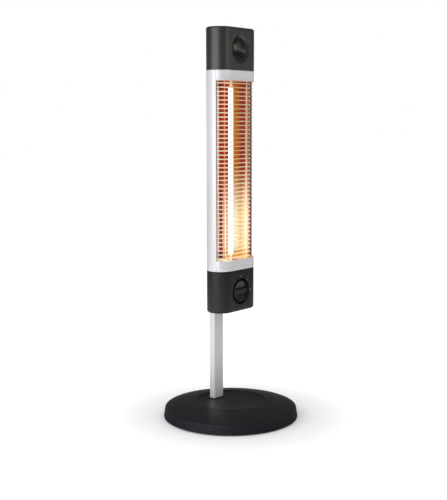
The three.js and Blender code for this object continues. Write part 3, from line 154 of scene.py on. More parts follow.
class NodeKit:
    """Adds and links the nodes of one tree."""

    def __init__(self, tree: bpy.types.NodeTree) -> None:
        """Keeps the tree that the nodes go into."""
        self.tree = tree

    def feed(self, socket: bpy.types.NodeSocket, value: Any) -> None:
        """Links something to an input, or sets the input's value.

        Args:
            socket: The input.
            value: A socket, a wrapped number or a plain value.
        """
        source = value.socket if isinstance(value, Number) else value
        if isinstance(source, bpy.types.NodeSocket):
            self.tree.links.new(source, socket)
        else:
            socket.default_value = source

    def add(
        self,
        kind: str,
        settings: Mapping[str, Any] | None = None,
        inputs: Mapping[int | str, Any] | None = None,
    ) -> bpy.types.Node:
        """Adds a node, sets it up and feeds its inputs.

        Args:
            kind: The node's type name.
            settings: Properties by name; "stops" holds a ramp's places and colours.
            inputs: Values or links by the socket's number or name.

        Returns:
            The new node.
        """
        node = self.tree.nodes.new(kind)
        for name, value in (settings or {}).items():
            if name == "stops":
                self._set_stops(node.color_ramp, value)
            else:
                setattr(node, name, value)
        for key, value in (inputs or {}).items():
            self.feed(node.inputs[key], value)
        return node

    @staticmethod
    def _set_stops(ramp: bpy.types.ColorRamp, stops: Stops) -> None:
        """Gives a colour ramp its stops.

        Args:
            ramp: The ramp.
            stops: Places from 0 to 1 in rising order, each with its colour.
        """
        while len(ramp.elements) < len(stops):
            ramp.elements.new(1.0)
        for element, (place, colour) in zip(ramp.elements, stops):
            element.position = place
            element.color = (*colour, 1.0)

    def number(
        self,
        kind: str,
        settings: Mapping[str, Any] | None = None,
        inputs: Mapping[int | str, Any] | None = None,
    ) -> Number:
        """Adds a node and wraps its first output as a number."""
        return Number(self, self.add(kind, settings, inputs).outputs[0])

    def blend(self, factor: Any, first: Any, second: Any) -> bpy.types.NodeSocket:
        """Mixes two colours and returns the mixed colour's socket."""
        inputs = {"Factor": factor, 6: self._colour(first), 7: self._colour(second)}
        return self.add("ShaderNodeMix", {"data_type": "RGBA"}, inputs).outputs[2]

    @staticmethod
    def _colour(value: Any) -> Any:
        """A plain colour with its fourth number, or the link unchanged."""
        return (*value, 1.0) if isinstance(value, tuple) and len(value) == 3 else value

    def fade(self, value: Any, low: float, high: float) -> Number:
        """A smooth step from 0 at low to 1 at high."""
        settings = {"interpolation_type": "SMOOTHSTEP"}
        return self.number("ShaderNodeMapRange", settings, {0: value, 1: low, 2: high})

    def zone(self, value: Any, start: Pair, end: Pair) -> Number:
        """1 in a zone that fades in over the start's span and out over the end's."""
        return self.fade(value, *start) * (1 - self.fade(value, *end))

    def position(self) -> tuple[bpy.types.NodeSocket, list[Number]]:
        """Reads the object coordinates.

        Returns:
            Their socket, and X, Y and Z as numbers.
        """
        place = self.add("ShaderNodeTexCoord").outputs["Object"]
        parts = self.add("ShaderNodeSeparateXYZ", None, {0: place})
        return place, [Number(self, socket) for socket in parts.outputs]

    def noise(
        self, place: Any, scale: float, stretch: Point = (1, 1, 1), detail: float = 3
    ) -> Number:
        """Noise from 0 to 1 with so many cells to a metre.

        Args:
            place: The coordinates' socket.
            scale: Cells to a metre along an unstretched axis.
            stretch: Share of the scale along each axis.
            detail: Finer layers on top of the first.

        Returns:
            The noise's value.
        """
        turned = self.add("ShaderNodeMapping", None, {"Vector": place, "Scale": stretch})
        inputs = {"Vector": turned.outputs[0], "Scale": scale, "Detail": detail}
        return self.number("ShaderNodeTexNoise", None, inputs)


# ---------------------------------------------------------------------------
# Finishes
# ---------------------------------------------------------------------------


@dataclass(frozen=True)
class Finish:
    """A surface finish whose tone and sheen vary a little over a piece.

    A coarse cloud and a fine grain mix into the tone by the grain's share, and
    each changes the roughness by its own sheen.
    """

    name: str
    colour: Colour
    roughness: float
    metallic: float = 0.0
    specular: float = 0.5
    tone: float = 0.06
    tone_scale: float = 22.0
    grain: float = 0.00002
    grain_scale: float = 1800.0
    stretch: Point = (1.0, 1.0, 1.0)
    grain_share: float = 0.3
    grain_sheen: float = 0.12
    cloud_sheen: float = 0.06

    def material(self) -> bpy.types.Material:
        """Finds the finish's material, or makes it when it is first asked for.

        Returns:
            The material.
        """
        label = "finish_" + self.name
        found = bpy.data.materials.get(label)
        if found:
            return found
        made = bpy.data.materials.new(label)
        made.use_nodes = True
        made.diffuse_color = (*self.colour, 1.0)
        shader = made.node_tree.nodes["Principled BSDF"]
        shader.inputs["Metallic"].default_value = self.metallic
        shader.inputs["Specular IOR Level"].default_value = self.specular
        self.vary(NodeKit(made.node_tree), shader)
        return made

    def vary(self, kit: NodeKit, shader: bpy.types.Node) -> None:
        """Adds the tone, the sheen and the grain.

        Args:
            kit: The material's nodes.
            shader: The material's surface shader.
        """
        place, parts = kit.position()
        cloud = kit.noise(place, self.tone_scale, self.stretch)
        grain = kit.noise(place, self.grain_scale, self.stretch, detail=2)
        darker = tuple(c * (1 - self.tone) for c in self.colour)
        lighter = tuple(min(1.0, c * (1 + self.tone)) for c in self.colour)
        share = cloud * (1 - self.grain_share) + grain * self.grain_share
        self.tint(kit, shader, kit.blend(share, darker, lighter), parts)
        sheen = (grain - 0.5) * self.grain_sheen + (cloud - 0.5) * self.cloud_sheen
        kit.feed(shader.inputs["Roughness"], sheen + self.roughness)
        self.emboss(kit, shader, grain)

    def tint(
        self,
        kit: NodeKit,
        shader: bpy.types.Node,
        tone: bpy.types.NodeSocket,
        parts: Sequence[Number],
    ) -> None:
        """Feeds the base colour; finishes that change over a piece add to it here.

        Args:
            kit: The material's nodes.
            shader: The material's surface shader.
            tone: The finish's own clouded colour.
            parts: The place as three numbers; not used here.
        """
        kit.feed(shader.inputs["Base Color"], tone)

    def emboss(self, kit: NodeKit, shader: bpy.types.Node, height: Number) -> None:
        """Raises the surface by a pattern from 0 to 1, to the grain's depth."""
        bump = kit.add("ShaderNodeBump", None, {"Distance": self.grain, "Height": height})
        kit.feed(shader.inputs["Normal"], bump.outputs[0])

    @staticmethod
    def glow(kit: NodeKit, shader: bpy.types.Node, colour: Any, strength: float) -> None:
        """Lets the surface shine in a colour that changes over it."""
        kit.feed(shader.inputs["Emission Color"], colour)
        shader.inputs["Emission Strength"].default_value = strength


@dataclass(frozen=True)
class GuardWire(Finish):
    """Bright wire, with painted shade where it bends away on the right and painted lamp light.

    A pair is a span of X or Z over which a tint comes or goes. The warm tint near the lamp and the
    glow at its foot and beside it are painted lamp light.
    """

    # Painted shade: the wires' colour on the right, where they bend away from the light.
    shade: Colour = srgb("b08b74")
    shade_x: Pair = (0.0395, 0.043)
    # Painted warm lamp light on the wires near the lamp.
    lamplight_tint: Colour = srgb("f8c896")
    lamplight_start_x: Pair = (-0.030, -0.018)
    lamplight_end_x: Pair = (-0.006, 0.006)
    # Painted lamp glow, given off as emission, near the window's foot and beside the lamp.
    lit: Colour = (1.0, 0.92, 0.68)
    lit_z: Pair = (0.48, 0.7)
    lit_x: Pair = (-0.07, -0.04)
    spill: float = 0.45
    spill_start_x: Pair = (-0.066, -0.05)
    spill_end_x: Pair = (-0.034, -0.02)
    strength: float = 0.42

    def tint(
        self,
        kit: NodeKit,
        shader: bpy.types.Node,
        tone: bpy.types.NodeSocket,
        parts: Sequence[Number],
    ) -> None:
        """Adds the painted shade on the bend and the painted lamp light.

        Args:
            kit: The material's nodes.
            shader: The material's surface shader.
            tone: The finish's own clouded colour.
            parts: The place as three numbers.
        """
        x, _, z = parts
        # Painted shade on the right bend, then painted warm lamp light near the lamp.
        bend = kit.fade(x, *self.shade_x)
        lamplit_tone = kit.blend(kit.zone(x, self.lamplight_start_x, self.lamplight_end_x), tone, self.lamplight_tint)
        kit.feed(shader.inputs["Base Color"], kit.blend(bend, lamplit_tone, self.shade))
        # Painted lamp glow at the window's foot and beside the lamp.
        foot = (1 - kit.fade(z, *self.lit_z)) * (1 - bend) * kit.fade(x, *self.lit_x)
        spill = kit.zone(x, self.spill_start_x, self.spill_end_x) * self.spill
        light = kit.blend(foot.larger(spill), BLACK, self.lit)
        self.glow(kit, shader, light, self.strength)


@dataclass(frozen=True)
class PaintedGlowSheet(Finish):
    """Bright rolled sheet with the lamp's reflection painted on, from deep red to gold and cream.

    The painted reflections are colours by place across the sheet, from its left edge (0)
    to its right one (1), once for the window's upper part and once for its brighter foot;
    they also glow as emission. A pair is a span of X or Z over which a tint comes or goes.
    """

    # Painted reflection of the lamp's glow across the window's upper part.
    upper: Stops = (
        (0.043, (0.080, 0.004, 0.001)),
        (0.072, (0.190, 0.018, 0.002)),
        (0.123, (0.320, 0.092, 0.012)),
        (0.200, (0.410, 0.150, 0.020)),
        (0.270, (0.360, 0.050, 0.006)),
        (0.314, (0.310, 0.022, 0.006)),
        (0.324, (0.120, 0.085, 0.066)),
        (0.374, (0.120, 0.085, 0.066)),
        (0.384, (0.260, 0.200, 0.170)),
        (0.396, (0.260, 0.200, 0.170)),
        (0.406, (0.026, 0.004, 0.002)),
        (0.424, (0.090, 0.008, 0.003)),
        (0.450, (0.210, 0.018, 0.006)),
        (0.510, (0.300, 0.034, 0.012)),
        (0.520, (0.960, 0.600, 0.430)),
        (0.556, (0.900, 0.520, 0.360)),
        (0.572, (0.330, 0.034, 0.010)),
        (0.600, (0.310, 0.018, 0.005)),
        (0.680, (0.360, 0.050, 0.006)),
        (0.800, (0.410, 0.150, 0.020)),
        (0.877, (0.320, 0.092, 0.012)),
        (0.928, (0.190, 0.018, 0.002)),
        (0.957, (0.080, 0.004, 0.001)),
        (0.969, (0.360, 0.180, 0.120)),
        (0.980, (0.300, 0.140, 0.100)),
    )
    # Painted reflection of the lamp's brighter foot.
    foot: Stops = (
        (0.043, (0.470, 0.270, 0.160)),
        (0.072, (0.560, 0.370, 0.170)),
        (0.123, (0.560, 0.530, 0.320)),
        (0.200, (0.680, 0.700, 0.560)),
        (0.270, (0.560, 0.320, 0.180)),
        (0.314, (0.340, 0.110, 0.045)),
        (0.324, (0.110, 0.095, 0.080)),
        (0.374, (0.110, 0.095, 0.080)),
        (0.384, (0.200, 0.170, 0.150)),
        (0.396, (0.200, 0.170, 0.150)),
        (0.406, (0.050, 0.008, 0.004)),
        (0.440, (0.130, 0.014, 0.009)),
        (0.468, (0.200, 0.030, 0.020)),
        (0.474, (0.600, 0.440, 0.360)),
        (0.484, (0.600, 0.440, 0.360)),
        (0.491, (0.140, 0.010, 0.005)),
        (0.523, (0.140, 0.012, 0.006)),
        (0.533, (0.700, 0.520, 0.430)),
        (0.582, (0.900, 0.780, 0.660)),
        (0.602, (0.480, 0.200, 0.070)),
        (0.680, (0.560, 0.320, 0.180)),
        (0.800, (0.680, 0.700, 0.560)),
        (0.877, (0.560, 0.530, 0.320)),
        (0.928, (0.560, 0.370, 0.170)),
        (0.957, (0.470, 0.270, 0.160)),
        (0.969, (0.620, 0.430, 0.330)),
        (0.980, (0.560, 0.400, 0.310)),
    )
    half_width: float = 0.067
    foot_z: Pair = (0.49, 0.64)
    # The painted glow shines this much stronger at the window's foot.
    foot_gain: float = 1.6
    # Painted yellow lamp glow along the window's sole, right of the middle.
    sole_glow: Colour = (0.420, 0.235, 0.055)
    sole_z: Pair = (0.412, 0.432)
    sole_x: Pair = (0.0, 0.02)
    strength: float = 0.6
    ripple_scale: float = 60.0
    ripple_stretch: Point = (1.0, 1.0, 0.25)
    ripple_shift: float = 0.03
    ripple_sheen: float = 0.08
    wave_scale: float = 26.0
    wave_stretch: Point = (1.0, 1.0, 3.0)

    def vary(self, kit: NodeKit, shader: bpy.types.Node) -> None:
        """Adds the painted lamp reflection and glow, and the rolled waves.

        Args:
            kit: The material's nodes.
            shader: The material's surface shader.
        """
        place, (x, _, z) = kit.position()
        ripple = kit.noise(place, self.ripple_scale, self.ripple_stretch)
        shift = (ripple - 0.5) * self.ripple_shift
        across = x / (2 * self.half_width) + 0.5 + shift
        upper, foot = (
            kit.add("ShaderNodeValToRGB", {"stops": stops}, {0: across}).outputs[0]
            for stops in (self.upper, self.foot)
        )
        # Painted lamp reflection: the foot's brighter tints below the upper ones.
        tinted = kit.blend(kit.fade(z + shift, *self.foot_z), foot, upper)
        # Painted yellow lamp glow along the sole, right of the middle.
        sole_glow = (1 - kit.fade(z, *self.sole_z)) * kit.fade(x, *self.sole_x)
        lamp_glow = kit.blend(sole_glow, tinted, self.sole_glow)
        kit.feed(shader.inputs["Base Color"], lamp_glow)
        # The painted glow shines stronger at the window's foot.
        gain = (1 - kit.fade(z, *self.foot_z)) * (self.foot_gain - 1) + 1
        lit = kit.add("ShaderNodeVectorMath", {"operation": "SCALE"}, {0: lamp_glow, "Scale": gain})
        self.glow(kit, shader, lit.outputs[0], self.strength)
        kit.feed(shader.inputs["Roughness"], ripple * self.ripple_sheen + self.roughness)
        waves = kit.noise(place, self.wave_scale, self.wave_stretch, detail=1)
        self.emboss(kit, shader, waves)


@dataclass(frozen=True)
class GlowingGlass(Finish):
    """Glass tube that glows along its heated length and clears at its ends.

    The glow comes and goes over the two spans of Z.
    """

    hot: Colour = (1.0, 0.94, 0.84)
    cold: Colour = srgb("6b3a18")
    dim: tuple[Colour, Colour] = (srgb("c98a52"), srgb("e8b684"))
    strength: float = 3.0
    start_z: Pair = (0.41, 0.42)
    end_z: Pair = (0.819, 0.829)
    streak_scale: float = 420.0
    streak_stretch: Point = (1.0, 1.0, 0.05)
    streak_sheen: float = 0.1

    def vary(self, kit: NodeKit, shader: bpy.types.Node) -> None:
        """Adds the glow and faint streaks along the glass.

        Args:
            kit: The material's nodes.
            shader: The material's surface shader.
        """
        place, (_, _, z) = kit.position()
        lamp_glow = kit.zone(z, self.start_z, self.end_z)
        streaks = kit.noise(place, self.streak_scale, self.streak_stretch)
        ends = kit.blend(streaks, *self.dim)
        kit.feed(shader.inputs["Base Color"], kit.blend(lamp_glow, self.colour, ends))
        self.glow(kit, shader, kit.blend(lamp_glow, self.cold, self.hot), self.strength)
        kit.feed(shader.inputs["Roughness"], streaks * self.streak_sheen + self.roughness)


SATIN_SILVER = Finish(
    "satin_silver", srgb("d6d7da"), 0.36, 0.3, tone=0.04, stretch=(1, 1, 0.03), grain_scale=2600
)
# Painted lamp glow and shade: a brown copy of the silver for the housing's inside faces.
HOUSING_GLOW_AND_SHADE = Finish("housing_inside", srgb("75452f"), 0.5, 0.3, tone=0.12)
POLE_SILVER = Finish(
    "pole_silver", srgb("dadadc"), 0.4, 0.55, tone=0.06, stretch=(1, 1, 0.02), grain_scale=3200
)
SATIN_BLACK = Finish("satin_black", srgb("19171d"), 0.4, specular=0.28, tone=0.12, grain=0.00003)
CHARCOAL = Finish("charcoal", srgb("1c1b1b"), 0.36, specular=1.0, tone=0.1, grain=0.00003)
BLACK_MOULDING = Finish(
    "black_moulding", srgb("141314"), 0.36, specular=0.42, tone=0.12, grain=0.00003
)
GLOSS_BLACK = Finish(
    "gloss_black", srgb("070608"), 0.21, specular=1.0, tone=0.1, grain=0.000004, grain_scale=300
)
CHROME_WIRE = GuardWire(
    "chrome_wire", srgb("ecdbc2"), 0.28, 0.5, tone=0.06, tone_scale=90, grain=0.00001
)
# Painted reflection and glow of the lamp, for the reflector and the shields.
PAINTED_GLOW_SHEET = PaintedGlowSheet("hot_sheet", srgb("e0b070"), 0.1, 0.9, grain=0.0004)
LAMP_GLASS = GlowingGlass("lamp_glass", srgb("f0d8b8"), 0.12)
LAMP_STRIP = Finish("lamp_strip", srgb("ffb070"), 0.7, tone=0.2, tone_scale=300)
CAST_IRON = Finish(
    "cast_iron", srgb("3a3939"), 0.72, 0.3, tone=0.2, tone_scale=60, grain=0.0002, grain_scale=420
)
ZINC_STEEL = Finish("zinc_steel", srgb("b3b4b4"), 0.36, 0.95, tone=0.12, tone_scale=120)
RUBBER = Finish(
    "rubber", srgb("1c1c1c"), 0.82, specular=0.3, tone=0.15, grain=0.00006, grain_scale=900
)
STEATITE = Finish("steatite", srgb("e8e3d8"), 0.55, tone=0.05, grain=0.00004, grain_scale=700)
BLACK_NYLON = Finish("black_nylon", srgb("202022"), 0.55, specular=0.4, tone=0.12, grain=0.00004)
BRASS = Finish("brass_plain", srgb("b8995a"), 0.34, 0.95, tone=0.12, tone_scale=90)
BOARD_GREEN = Finish("board_green", srgb("2f6a41"), 0.5, tone=0.18, tone_scale=160)
PRINT_GREY = Finish("print_grey", srgb("c9c7c2"), 0.6, tone=0.08, tone_scale=400)

SLOT_FINISHES: dict[str, Finish] = {
    "satin_silver": SATIN_SILVER,
    "satin_black": SATIN_BLACK,
    "charcoal": CHARCOAL,
    "black_moulding": BLACK_MOULDING,
    "gloss_black": GLOSS_BLACK,
    "chrome_wire": CHROME_WIRE,
    "mirror_aluminium": PAINTED_GLOW_SHEET,
    "cast_iron": CAST_IRON,
    "zinc_steel": ZINC_STEEL,
    "rubber": RUBBER,
    "quartz_glass": LAMP_GLASS,
    "carbon": LAMP_STRIP,
    "ceramic": STEATITE,
    "black_plastic": BLACK_NYLON,
    "brass": BRASS,
    "board_green": BOARD_GREEN,
}


# ---------------------------------------------------------------------------
# Mesh tools
# ---------------------------------------------------------------------------


def arc(centre: Pair, radius: float, start: float, end: float, steps: int) -> list[Pair]:
    """Points along an arc, both ends included."""
    angles = [start + (end - start) * i / steps for i in range(steps + 1)]
    return [(centre[0] + radius * math.cos(a), centre[1] + radius * math.sin(a)) for a in angles]


def link(name: str, mesh: bpy.types.Mesh) -> bpy.types.Object:
    """Puts a mesh into the scene as an object at the origin.

    Args:
        name: The object's name.
        mesh: Its mesh.

    Returns:
        The new object.
    """
    piece = bpy.data.objects.new(name, mesh)
    bpy.context.scene.collection.objects.link(piece)
    return piece


def solid(name: str, points: Sequence[Point], faces: Sequence[Sequence[int]]) -> bpy.types.Object:
    """A closed object from points and faces, with its faces turned out.

    Args:
        name: The object's name.
        points: Corner places.
        faces: Corner numbers of each face, in any direction round.

    Returns:
        The new object.
    """
    mesh = bpy.data.meshes.new(name)
    mesh.from_pydata([tuple(p) for p in points], [], [tuple(f) for f in faces])
    form = bmesh.new()
    form.from_mesh(mesh)
    bmesh.ops.remove_doubles(form, verts=form.verts, dist=SAME_PLACE)
    bmesh.ops.recalc_face_normals(form, faces=form.faces)
    form.to_mesh(mesh)
    form.free()
    return link(name, mesh)


def loft(name: str, rings: Sequence[Sequence[Point]], loop: bool = False) -> bpy.types.Object:
    """A skin over rings of equal counts.

    Args:
        name: The object's name.
        rings: The rings in order.
        loop: Joins the last ring to the first instead of closing both ends.

    Returns:
        The closed object.
    """
    count = len(rings[0])
    points = [p for ring in rings for p in ring]
    spans = len(rings) if loop else len(rings) - 1
    faces: list[Sequence[int]] = []
    for span in range(spans):
        here, there = span * count, (span + 1) % len(rings) * count
        for i in range(count):
            after = (i + 1) % count
            faces.append((here + i, here + after, there + after, there + i))
    if not loop:
        last = (len(rings) - 1) * count
        faces.append(tuple(range(count)))
        faces.append(tuple(range(last + count - 1, last - 1, -1)))
    return solid(name, points, faces)


def lathe(name: str, outline: Sequence[Pair], steps: int) -> bpy.types.Object:
    """A turned piece about Z.

    Args:
        name: The object's name.
        outline: Radius and height pairs, from the axis to the axis, or a closed
            loop that ends where it starts.
        steps: Faces round the axis.

    Returns:
        The closed object.
    """
    points: list[Point] = []
    starts: list[int] = []
    for radius, height in outline:
        starts.append(len(points))
        if radius < ON_AXIS:
            points.append((0.0, 0.0, height))
            continue
        turns = [2 * math.pi * i / steps for i in range(steps)]
        points.extend((radius * math.cos(t), radius * math.sin(t), height) for t in turns)
    faces: list[Sequence[int]] = []
    for k in range(len(outline) - 1):
        low, high = starts[k], starts[k + 1]
        low_pole, high_pole = outline[k][0] < ON_AXIS, outline[k + 1][0] < ON_AXIS
        if low_pole and high_pole:
            continue
        for i in range(steps):
            after = (i + 1) % steps
            if low_pole:
                faces.append((low, high + after, high + i))
            elif high_pole:
                faces.append((low + i, low + after, high))
            else:
                faces.append((low + i, low + after, high + after, high + i))
    return solid(name, points, faces)


def prism(name: str, outline: Sequence[Pair], low: float, high: float) -> bpy.types.Object:
    """An outline in X and Y drawn up from low to high."""
    return loft(name, [[(x, y, z) for x, y in outline] for z in (low, high)])


def rounded_outline(width: float, depth: float, corner: float, steps: int = 8) -> list[Pair]:
    """A rectangle with round corners about the origin.

    Args:
        width: Its size along X.
        depth: Its size along Y.
        corner: The corners' radius.
        steps: Faces round each corner.

    Returns:
        Its points, anticlockwise.
    """
    x, y = width / 2 - corner, depth / 2 - corner
    corners = [((x, -y), -QUARTER), ((x, y), 0.0), ((-x, y), QUARTER), ((-x, -y), math.pi)]
    return [
        point
        for centre, start in corners
        for point in arc(centre, corner, start, start + QUARTER, steps)
    ]


def rounded_end(
    inset: float, end: float, radius: float, upwards: bool, steps: int = 6
) -> list[Pair]:
    """Levels of a rounded edge from the flat end to the upright wall.

    Args:
        inset: How far inside the outline the wall stands.
        end: Height of the flat end.
        radius: The edge's radius.
        upwards: Whether the wall rises from the end or hangs below it.
        steps: Faces round the edge.

    Returns:
        Insets and heights, from the end on.
    """
    side = 1 if upwards else -1
    return [
        (inset + radius * (1 - math.sin(a)), end + side * radius * (1 - math.cos(a)))
        for a in [QUARTER * i / steps for i in range(steps + 1)]
    ]


def settle(piece: bpy.types.Object) -> bpy.types.Object:
    """Turns an object's modifiers into plain mesh.

    Args:
        piece: The object with its modifiers.

    Returns:
        The same object without them.
    """
    graph = bpy.context.evaluated_depsgraph_get()
    mesh = bpy.data.meshes.new_from_object(piece.evaluated_get(graph), depsgraph=graph)
    piece.modifiers.clear()
    piece.data = mesh
    return piece


def carve(piece: bpy.types.Object, tools: Sequence[bpy.types.Object]) -> bpy.types.Object:
    """Cuts the tools out of a piece and removes the tools.

    Args:
        piece: The object that is cut.
        tools: Closed objects that take material away.

    Returns:
        The piece.
    """
    for tool in tools:
        cut = piece.modifiers.new("cut", "BOOLEAN")
        cut.operation = "DIFFERENCE"
        cut.solver = "EXACT"
        cut.object = tool
    settle(piece)
    for tool in tools:
        bpy.data.objects.remove(tool, do_unlink=True)
    return piece


def ease(
    piece: bpy.types.Object, width: float, angle: float = 35, segments: int = 2
) -> bpy.types.Object:
    """Rounds a piece's sharp edges.

    Args:
        piece: The object.
        width: How far the rounding reaches.
        angle: Edges sharper than this, in degrees, are rounded.
        segments: Faces across the rounding.

    Returns:
        The piece.
    """
    bevel = piece.modifiers.new("ease", "BEVEL")
    bevel.width = width
    bevel.segments = segments
    bevel.limit_method = "ANGLE"
    bevel.angle_limit = math.radians(angle)
    return settle(piece)


def merge(name: str, parts: Sequence[bpy.types.Object]) -> bpy.types.Object:
    """Joins several objects' meshes into one object.

    Args:
        name: The new object's name.
        parts: The objects, which are removed.

    Returns:
        The new object.
    """
    form = bmesh.new()
    for part in parts:
        form.from_mesh(part.data)
    mesh = bpy.data.meshes.new(name)
    form.to_mesh(mesh)
    form.free()
    for part in parts:
        bpy.data.objects.remove(part, do_unlink=True)
    return link(name, mesh)


def seat(
    piece: bpy.types.Object,
    finish: Finish,
    nodes: Sequence[str] = (),
    body: str = "root",
    crease: float = 30,
) -> bpy.types.Object:
    """Gives a piece its material and its body, and lets it stand for its nodes.

    Args:
        piece: The finished object.
        finish: What it is coated with or made of.
        nodes: The frame's nodes that it replaces.
        body: The body that it moves with.
        crease: Edges sharper than this, in degrees, stay crisp.

    Returns:
        The same object.
    """
    piece.data.materials.clear()
    piece.data.materials.append(finish.material())
    piece.data.shade_smooth()
    piece.data.set_sharp_from_angle(angle=math.radians(crease))
    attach(piece, body)
    if nodes:
        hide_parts(*nodes)
    LOG.info("%s: %d faces on %s", piece.name, len(piece.data.polygons), body)
    return piece


# ---------------------------------------------------------------------------
# Geometry node trees
# ---------------------------------------------------------------------------


class Recipe:
    """A geometry node tree with named inputs that is run once on an object."""

    def __init__(self, name: str, inputs: Mapping[str, tuple[str, Any]]) -> None:
        """Makes the tree's outside.

        Args:
            name: The tree's name.
            inputs: Each input's socket type and first value, by name.
        """
        self.tree = bpy.data.node_groups.new(name, "GeometryNodeTree")
        self.kit = NodeKit(self.tree)
        face = self.tree.interface
        face.new_socket("Geometry", in_out="INPUT", socket_type="NodeSocketGeometry")
        face.new_socket("Geometry", in_out="OUTPUT", socket_type="NodeSocketGeometry")
        for label, (kind, value) in inputs.items():
            face.new_socket(label, in_out="INPUT", socket_type=kind).default_value = value
        self.entry = self.kit.add("NodeGroupInput")

    def close(self, geometry: bpy.types.NodeSocket, finish: Finish) -> None:
        """Makes the copies real, gives them their material and ends the tree.

        Args:
            geometry: The socket with the copies.
            finish: Their finish.
        """
        real = self.kit.add("GeometryNodeRealizeInstances", None, {0: geometry}).outputs[0]
        coat = {0: real, "Material": finish.material()}
        coated = self.kit.add("GeometryNodeSetMaterial", None, coat)
        self.kit.add("NodeGroupOutput", None, {0: coated.outputs[0]})

    def run(self, piece: bpy.types.Object, values: Mapping[str, Any]) -> bpy.types.Object:
        """Runs the tree on an object and keeps the result as its mesh.

        Args:
            piece: The object whose mesh goes in.
            values: The tree's inputs by name.

        Returns:
            The same object.
        """
        step = piece.modifiers.new("recipe", "NODES")
        step.node_group = self.tree
        for item in self.tree.interface.items_tree:
            if item.in_out == "INPUT" and item.name in values:
                step[item.identifier] = values[item.name]
        return settle(piece)


def swept_rows(finish: Finish) -> Recipe:
    """A tree that sweeps a round wire along lines and repeats it upwards.

    Args:
        finish: The wire's finish.

    Returns:
        The tree, with the wire's size and the rows' count and pitch as inputs.
    """
    recipe = Recipe(
        "swept_rows",
        {
            "Wire radius": ("NodeSocketFloat", 0.0015),
            "Sides": ("NodeSocketInt", 12),
            "Count": ("NodeSocketInt", 1),
            "Pitch": ("NodeSocketFloat", 0.01),
        },
    )
    kit, entry = recipe.kit, recipe.entry.outputs
    line = kit.add("GeometryNodeMeshToCurve", None, {0: entry["Geometry"]}).outputs[0]
    section = kit.add(
        "GeometryNodeCurvePrimitiveCircle",
        None,
        {"Resolution": entry["Sides"], "Radius": entry["Wire radius"]},
    )
    wire = kit.add(
        "GeometryNodeCurveToMesh",
        None,
        {"Curve": line, "Profile Curve": section.outputs[0], "Fill Caps": True},
    )
    step = kit.add("ShaderNodeCombineXYZ", None, {2: entry["Pitch"]}).outputs[0]
    rows = kit.add(
        "GeometryNodeMeshLine", {"mode": "OFFSET"}, {"Count": entry["Count"], "Offset": step}
    )
    copies = kit.add(
        "GeometryNodeInstanceOnPoints",
        None,
        {"Points": rows.outputs[0], "Instance": wire.outputs[0]},
    )
    recipe.close(copies.outputs[0], finish)
    return recipe


def set_on_points(name: str, master: bpy.types.Object, finish: Finish) -> Recipe:
    """A tree that puts a copy of one master piece on every point.

    Args:
        name: The tree's name.
        master: The piece that is copied.
        finish: The copies' finish.

    Returns:
        The tree, whose input Size scales the copies.
    """
    recipe = Recipe(name, {"Size": ("NodeSocketFloat", 1.0)})
    kit, entry = recipe.kit, recipe.entry.outputs
    model = kit.add("GeometryNodeObjectInfo", None, {"Object": master}).outputs["Geometry"]
    copies = kit.add(
        "GeometryNodeInstanceOnPoints",
        None,
        {"Points": entry["Geometry"], "Instance": model, "Scale": entry["Size"]},
    )
    recipe.close(copies.outputs[0], finish)
    return recipe


def copies_of(
    name: str, master: bpy.types.Object, places: Sequence[Point], finish: Finish
) -> bpy.types.Object:
    """One mesh with a copy of a master piece at each place.

    Args:
        name: The new object's name.
        master: The piece that is copied, and then removed.
        places: Where the copies go.
        finish: Their finish.

    Returns:
        The new object.
    """
    mesh = bpy.data.meshes.new(name)
    mesh.from_pydata([tuple(p) for p in places], [], [])
    piece = link(name, mesh)
    set_on_points(name + "_tree", master, finish).run(piece, {"Size": 1.0})
    bpy.data.objects.remove(master, do_unlink=True)
    return piece


# ---------------------------------------------------------------------------
# The head's plan
# ---------------------------------------------------------------------------


class End(Enum):
    """The head's two ends, each with the first words of its nodes' names."""

    TOP = ("top", "upper")
    BOTTOM = ("bottom", "lower")

    def __init__(self, cap: str, band: str) -> None:
        """Keeps the first word of the cap's name and of the band's."""
        self.cap = cap
        self.band = band

    @property
    def inwards(self) -> int:
        """The way from this end into the head: up (1) or down (-1)."""
        return 1 if self is End.BOTTOM else -1


@dataclass(frozen=True)
class Place:
    """A place on the head's outline and the direction straight out of it."""

    x: float
    y: float
    out_x: float
    out_y: float

    def at(self, inset: float, z: float) -> Point:
        """The point so far inside the outline, at a height."""
        return self.x - inset * self.out_x, self.y - inset * self.out_y, z


